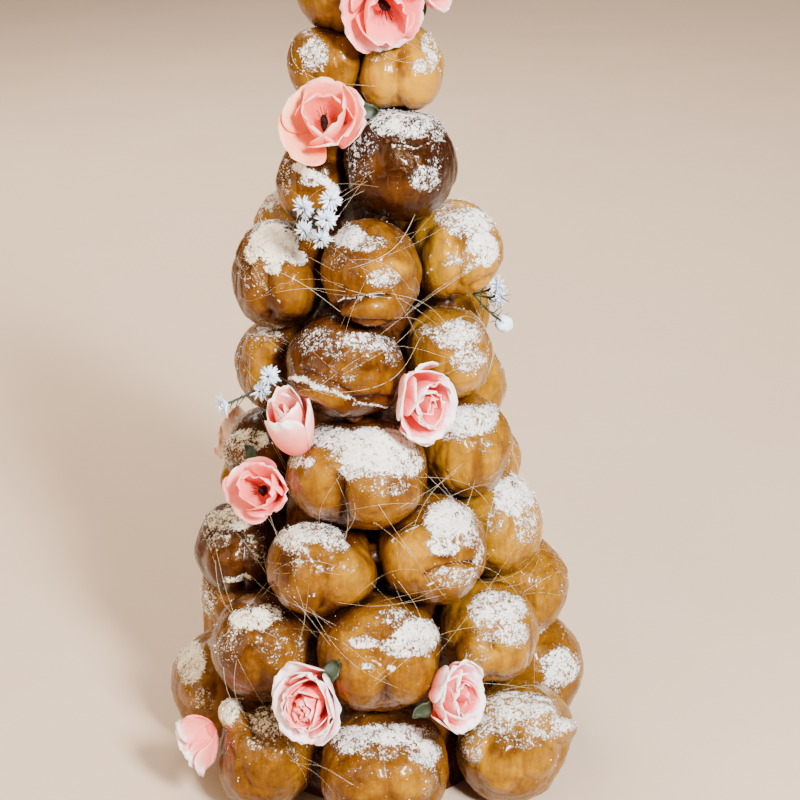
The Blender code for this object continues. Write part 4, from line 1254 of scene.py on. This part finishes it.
def make_flower(name, flower, number, materials):
    """A paper flower of separate petals in place of its plain solid."""
    rng = np.random.default_rng(SEED * 10 + number)
    half = flower.width / 2 * MM
    depth = FOOT_DEPTH[flower.kind] * half
    axes, place = placed(flower.azimuth, flower.reach, flower.rise, flower.turn, flower.lift)
    shape = Shape()
    is_open = flower.kind == "open"
    side_pale, end_pale = (0.08, 0.10) if is_open else (0.2, 0.25)

    def set_down(points):
        return place + flower_shaped(points, flower, half) @ axes.T

    for level, ring in enumerate(PETALS[flower.kind]):
        for index in range(ring.count):
            angle = 2 * math.pi * (index + 0.5 * (level % 2) + rng.uniform(-0.08, 0.08)) / ring.count
            if ring.angles:
                angle = math.radians(ring.angles[index])
            grid, along = petal_grid(ring, half, depth * (1 - 0.04 * level), rng)
            flat = grid.reshape(-1, 3)
            foot = np.array([ring.start * half, 0, 0])
            flat = turned(flat - foot, math.radians(ring.twist)) + foot
            points, faces = sheet_solid(turned(flat, angle).reshape(grid.shape), PETAL_THICKNESS)
            shade = np.repeat(along, PETAL_COLUMNS) * 0.70 + ring.shade + rng.uniform(-0.05, 0.05)
            rim = np.abs(np.tile(np.linspace(-1, 1, PETAL_COLUMNS), PETAL_ROWS)) ** 4 * side_pale
            rim = rim + np.repeat(along, PETAL_COLUMNS) ** 12 * end_pale
            outside = np.concatenate([shade + rim + 0.10, shade + rim])
            peach = flower.peach if level == 0 or not is_open else 0.45 * flower.peach
            shape.add(set_down(points), faces, 0, np.clip(outside, 0, 1), peach)
    if is_open:
        add_heart(shape, half, set_down, rng)
    add_foot(shape, flower, half, set_down)
    if flower.leaf is not None:
        points, faces = sheet_solid(leaf_grid(flower, half), LEAF_THICKNESS)
        shape.add(place + points @ axes.T, faces, 1)
    return shape.piece("dressed_" + name, materials, node=name, slot="petal")


def ray_grid(length, widths, bend):
    """One ray of a floret: a narrow strip that stands at the angle 0 round the axis Z."""
    grid = np.empty((len(RAY_ALONG), 3, 3))
    for column, side in enumerate((-1, 0, 1)):
        notch = 1 - 0.1 * (side == 0) * RAY_ALONG ** 4
        grid[:, column, 0] = length * RAY_ALONG * np.sin(bend) * notch
        grid[:, column, 1] = widths * side
        grid[:, column, 2] = length * RAY_ALONG * np.cos(bend) + 0.12 * MM * abs(side) - FLORET_RADIUS * 0.35
    return grid


def add_floret(shape, place, axis, kind, rng):
    """A fringed floret, a round bud or a trumpet."""
    axis = axis / np.linalg.norm(axis)
    right = np.cross(axis, [0.2, 0.3, 0.9])
    right /= np.linalg.norm(right)
    axes = np.column_stack([right, np.cross(axis, right), axis])
    if kind == "b":
        directions, faces = small_ball(20, 14)
        bud = directions * BUD_RADIUS
        bud *= 1 + 0.16 * noise(bud, 1.1 * MM)[:, None]
        shape.add(place + bud, faces)
        return
    trumpet = kind == "t"
    widths = RAY_WIDTHS * (TRUMPET_WIDENING if trumpet else 1)
    for level, (count, lean) in enumerate(TRUMPET_RINGS if trumpet else FRINGE_RINGS):
        for index in range(count):
            turn = 2 * math.pi * (index + 0.5 * level + rng.uniform(-0.3, 0.3)) / count
            tilt = math.radians(lean + rng.uniform(-16, 16) * (0.2 if trumpet else 1))
            length = FLORET_RADIUS * (rng.uniform(1.2, 1.4) if trumpet else rng.uniform(0.66, 1.16))
            grid = ray_grid(length, widths, tilt + rng.uniform(0.2, 0.8) * RAY_ALONG)
            flat = turned(grid.reshape(-1, 3), turn)
            points, faces = sheet_solid(flat.reshape(grid.shape), RAY_THICKNESS)
            shape.add(place + points @ axes.T, faces)


def make_sprig(name, sprig, number, materials):
    """Stems, florets and needle leaves in place of the sprig's plain solid."""
    rng = np.random.default_rng(SEED * 20 + number)
    axes, place = placed(sprig.azimuth, sprig.reach, sprig.rise)
    root = np.array([0, 0, STEM_ROOT])
    shape = Shape()
    for offset, kind in zip(sprig.florets, sprig.kinds):
        tip = np.array(offset) * MM
        share = np.linspace(0, 1, 9)[:, None]
        path = root + (tip - root) * share
        path[:, 1] -= np.sin(share[:, 0] * math.pi) * 0.8 * MM
        points, faces = tube(place + path @ axes.T, STEM_RADIUS, 6)
        shape.add(points, faces, 1)
        facing = (tip - root) / np.linalg.norm(tip - root) + np.array([0, 0.1, 0.7])
        add_floret(shape, place + axes @ tip, axes @ facing, kind, rng)
        for _ in range(NEEDLES_A_STEM):
            start = path[rng.integers(2, 8)]
            way = rng.normal(size=3) + np.array([0, 0, 0.7])
            end = start + way / np.linalg.norm(way) * rng.uniform(3.5, 7) * MM
            needle = np.linspace(start, end, 4)
            needle[:, 1] -= np.linspace(0, 1, 4) ** 2 * NEEDLE_DROOP
            points, faces = tube(place + needle @ axes.T, NEEDLE_RADII, 4)
            shape.add(points, faces, 1)
    return shape.piece("dressed_" + name, materials, node=name, slot="floret")


# The spun sugar.


def hull_above(x, y):
    """A taut string over the places (x, y), looked up at each x."""
    kept = []
    for place in zip(x, y):
        while len(kept) > 1:
            (ax, ay), (bx, by) = kept[-2:]
            if (bx - ax) * (place[1] - ay) < (by - ay) * (place[0] - ax):
                break
            kept.pop()
        kept.append(place)
    kept = np.array(kept)
    return np.interp(x, kept[:, 0], kept[:, 1])


def strand(surface, eye, first, second, bow):
    """A taut thread over the surface, which an eye sees between two directions."""
    hits = []
    for ray in (first, second):
        hit = surface.ray_cast(Vector(eye), Vector(ray))[0]
        if hit is None:
            return None
        hits.append(np.array(hit))
    run = hits[1] - hits[0]
    length = np.linalg.norm(run)
    if length < SHORTEST_THREAD or length > LONGEST_THREAD:
        return None
    run /= length
    toward = eye - (hits[0] + hits[1]) / 2
    toward -= (toward @ run) * run
    toward /= np.linalg.norm(toward)
    side = np.cross(run, toward)
    x = np.linspace(0, length, THREAD_STEPS)
    sideways = side * (bow * length * np.sin(math.pi * x / length))[:, None]
    y = []
    for step, shift in zip(x, sideways):
        start = hits[0] + run * step + shift + toward * LOOK_HEIGHT
        hit = surface.ray_cast(Vector(start), Vector(-toward), LOOK_DEPTH)[0]
        y.append(THREAD_DROP if hit is None else (np.array(hit) - hits[0]) @ toward)
    y = hull_above(x, np.array(y))
    if y.max() > THREAD_CLEARANCE:
        return None
    return hits[0] + run * x[:, None] + sideways + toward * (y + THREAD_RADIUS)[:, None]


def make_threads(puffs, material):
    """Hair-thin threads of spun sugar over the tower."""
    rng = np.random.default_rng(SEED + 3)
    points = []
    faces = []
    for piece, corners, _, _ in puffs:
        faces.extend(tuple(index + len(points) for index in face.vertices) for face in piece.data.polygons)
        points.extend(corners.tolist())
    surface = BVHTree.FromPolygons(points, faces)
    shape = Shape()
    for view, share in VIEWS.items():
        cos, sin = math.cos(math.radians(view)), math.sin(math.radians(view))
        spin = np.array([[cos, -sin, 0], [sin, cos, 0], [0, 0, 1]])
        for bundle in BUNDLES:
            for _ in range(math.ceil(bundle.count * share)):
                stray = rng.normal(scale=bundle.stray * 0.6, size=4)
                first = spin @ through_picture(bundle.x + stray[0], bundle.y + stray[1])
                second = spin @ through_picture(bundle.end_x + stray[2], bundle.end_y + stray[3])
                path = strand(surface, spin @ CAMERA_PLACE, first, second, rng.normal(scale=0.12))
                if path is None:
                    continue
                wave = 0.10 * MM * noise(path, 9 * MM, rng.uniform(0, 20))
                path = path + wave[:, None]
                radii = THREAD_RADIUS * rng.uniform(0.55, 1.25) * (1 + 0.25 * noise(path, 6 * MM))
                shape.add(*tube(path, radii, THREAD_SIDES))
    return shape.piece("spun_sugar", [material], slot="caramel")


# The stage.


def make_stage():
    mesh = bpy.data.meshes.new("floor")
    half = FLOOR_HALF
    corners = [(-half, -half, 0), (half, -half, 0), (half, half, 0), (-half, half, 0)]
    mesh.from_pydata(corners, [], [(0, 1, 2, 3)])
    floor = bpy.data.objects.new("floor", mesh)
    graph = Graph("pale_floor")
    patchy = graph.noise(120 * MM, detail=3)
    colour = graph.ramp(patchy, (0.3, (0.46, 0.335, 0.23)), (0.7, (0.48, 0.355, 0.25)))
    mesh.materials.append(graph.set(Base_Color=colour, Roughness=0.9))
    bpy.context.scene.collection.objects.link(floor)


def make_lights():
    for name, (place, size, power, colour) in LAMPS.items():
        data = bpy.data.lights.new(name, "AREA")
        data.shape = "RECTANGLE"
        data.size, data.size_y = size
        data.energy = power
        data.color = colour
        light = bpy.data.objects.new(name, data)
        light.location = place
        aim = LAMP_AIM - light.location
        light.rotation_euler = aim.to_track_quat("-Z", "Y").to_euler()
        bpy.context.scene.collection.objects.link(light)
    world = bpy.data.worlds.new("studio")
    world.use_nodes = True
    background = world.node_tree.nodes["Background"]
    background.inputs["Color"].default_value = STUDIO_COLOUR
    background.inputs["Strength"].default_value = STUDIO_STRENGTH
    bpy.context.scene.world = world


def make_camera():
    data = bpy.data.cameras.new("camera")
    data.lens = CAMERA_LENS
    data.sensor_width = CAMERA_SENSOR
    camera = bpy.data.objects.new("camera", data)
    right, up, forward = (Vector(axis) for axis in camera_axes())
    matrix = Matrix((right, up, -forward)).transposed().to_4x4()
    matrix.translation = CAMERA_PLACE
    camera.matrix_world = matrix
    bpy.context.scene.collection.objects.link(camera)
    bpy.context.scene.camera = camera


make_camera()
make_stage()
make_lights()
choux = choux_material()
caramel = caramel_material()
puffs = [make_puff(name, number, choux) for number, name in enumerate(PUFF_NODES)]
make_core(caramel)
make_glue(caramel)
make_crumbs(puffs, sugar_material())
flower_materials = [petal_material(), leaf_material(), heart_material()]
for number, (name, flower) in enumerate(FLOWERS.items()):
    make_flower(name, flower, number, flower_materials)
sprig_materials = [floret_material(), flower_materials[1]]
for number, (name, sprig) in enumerate(SPRIGS.items()):
    make_sprig(name, sprig, number, sprig_materials)
make_threads(puffs, thread_material())
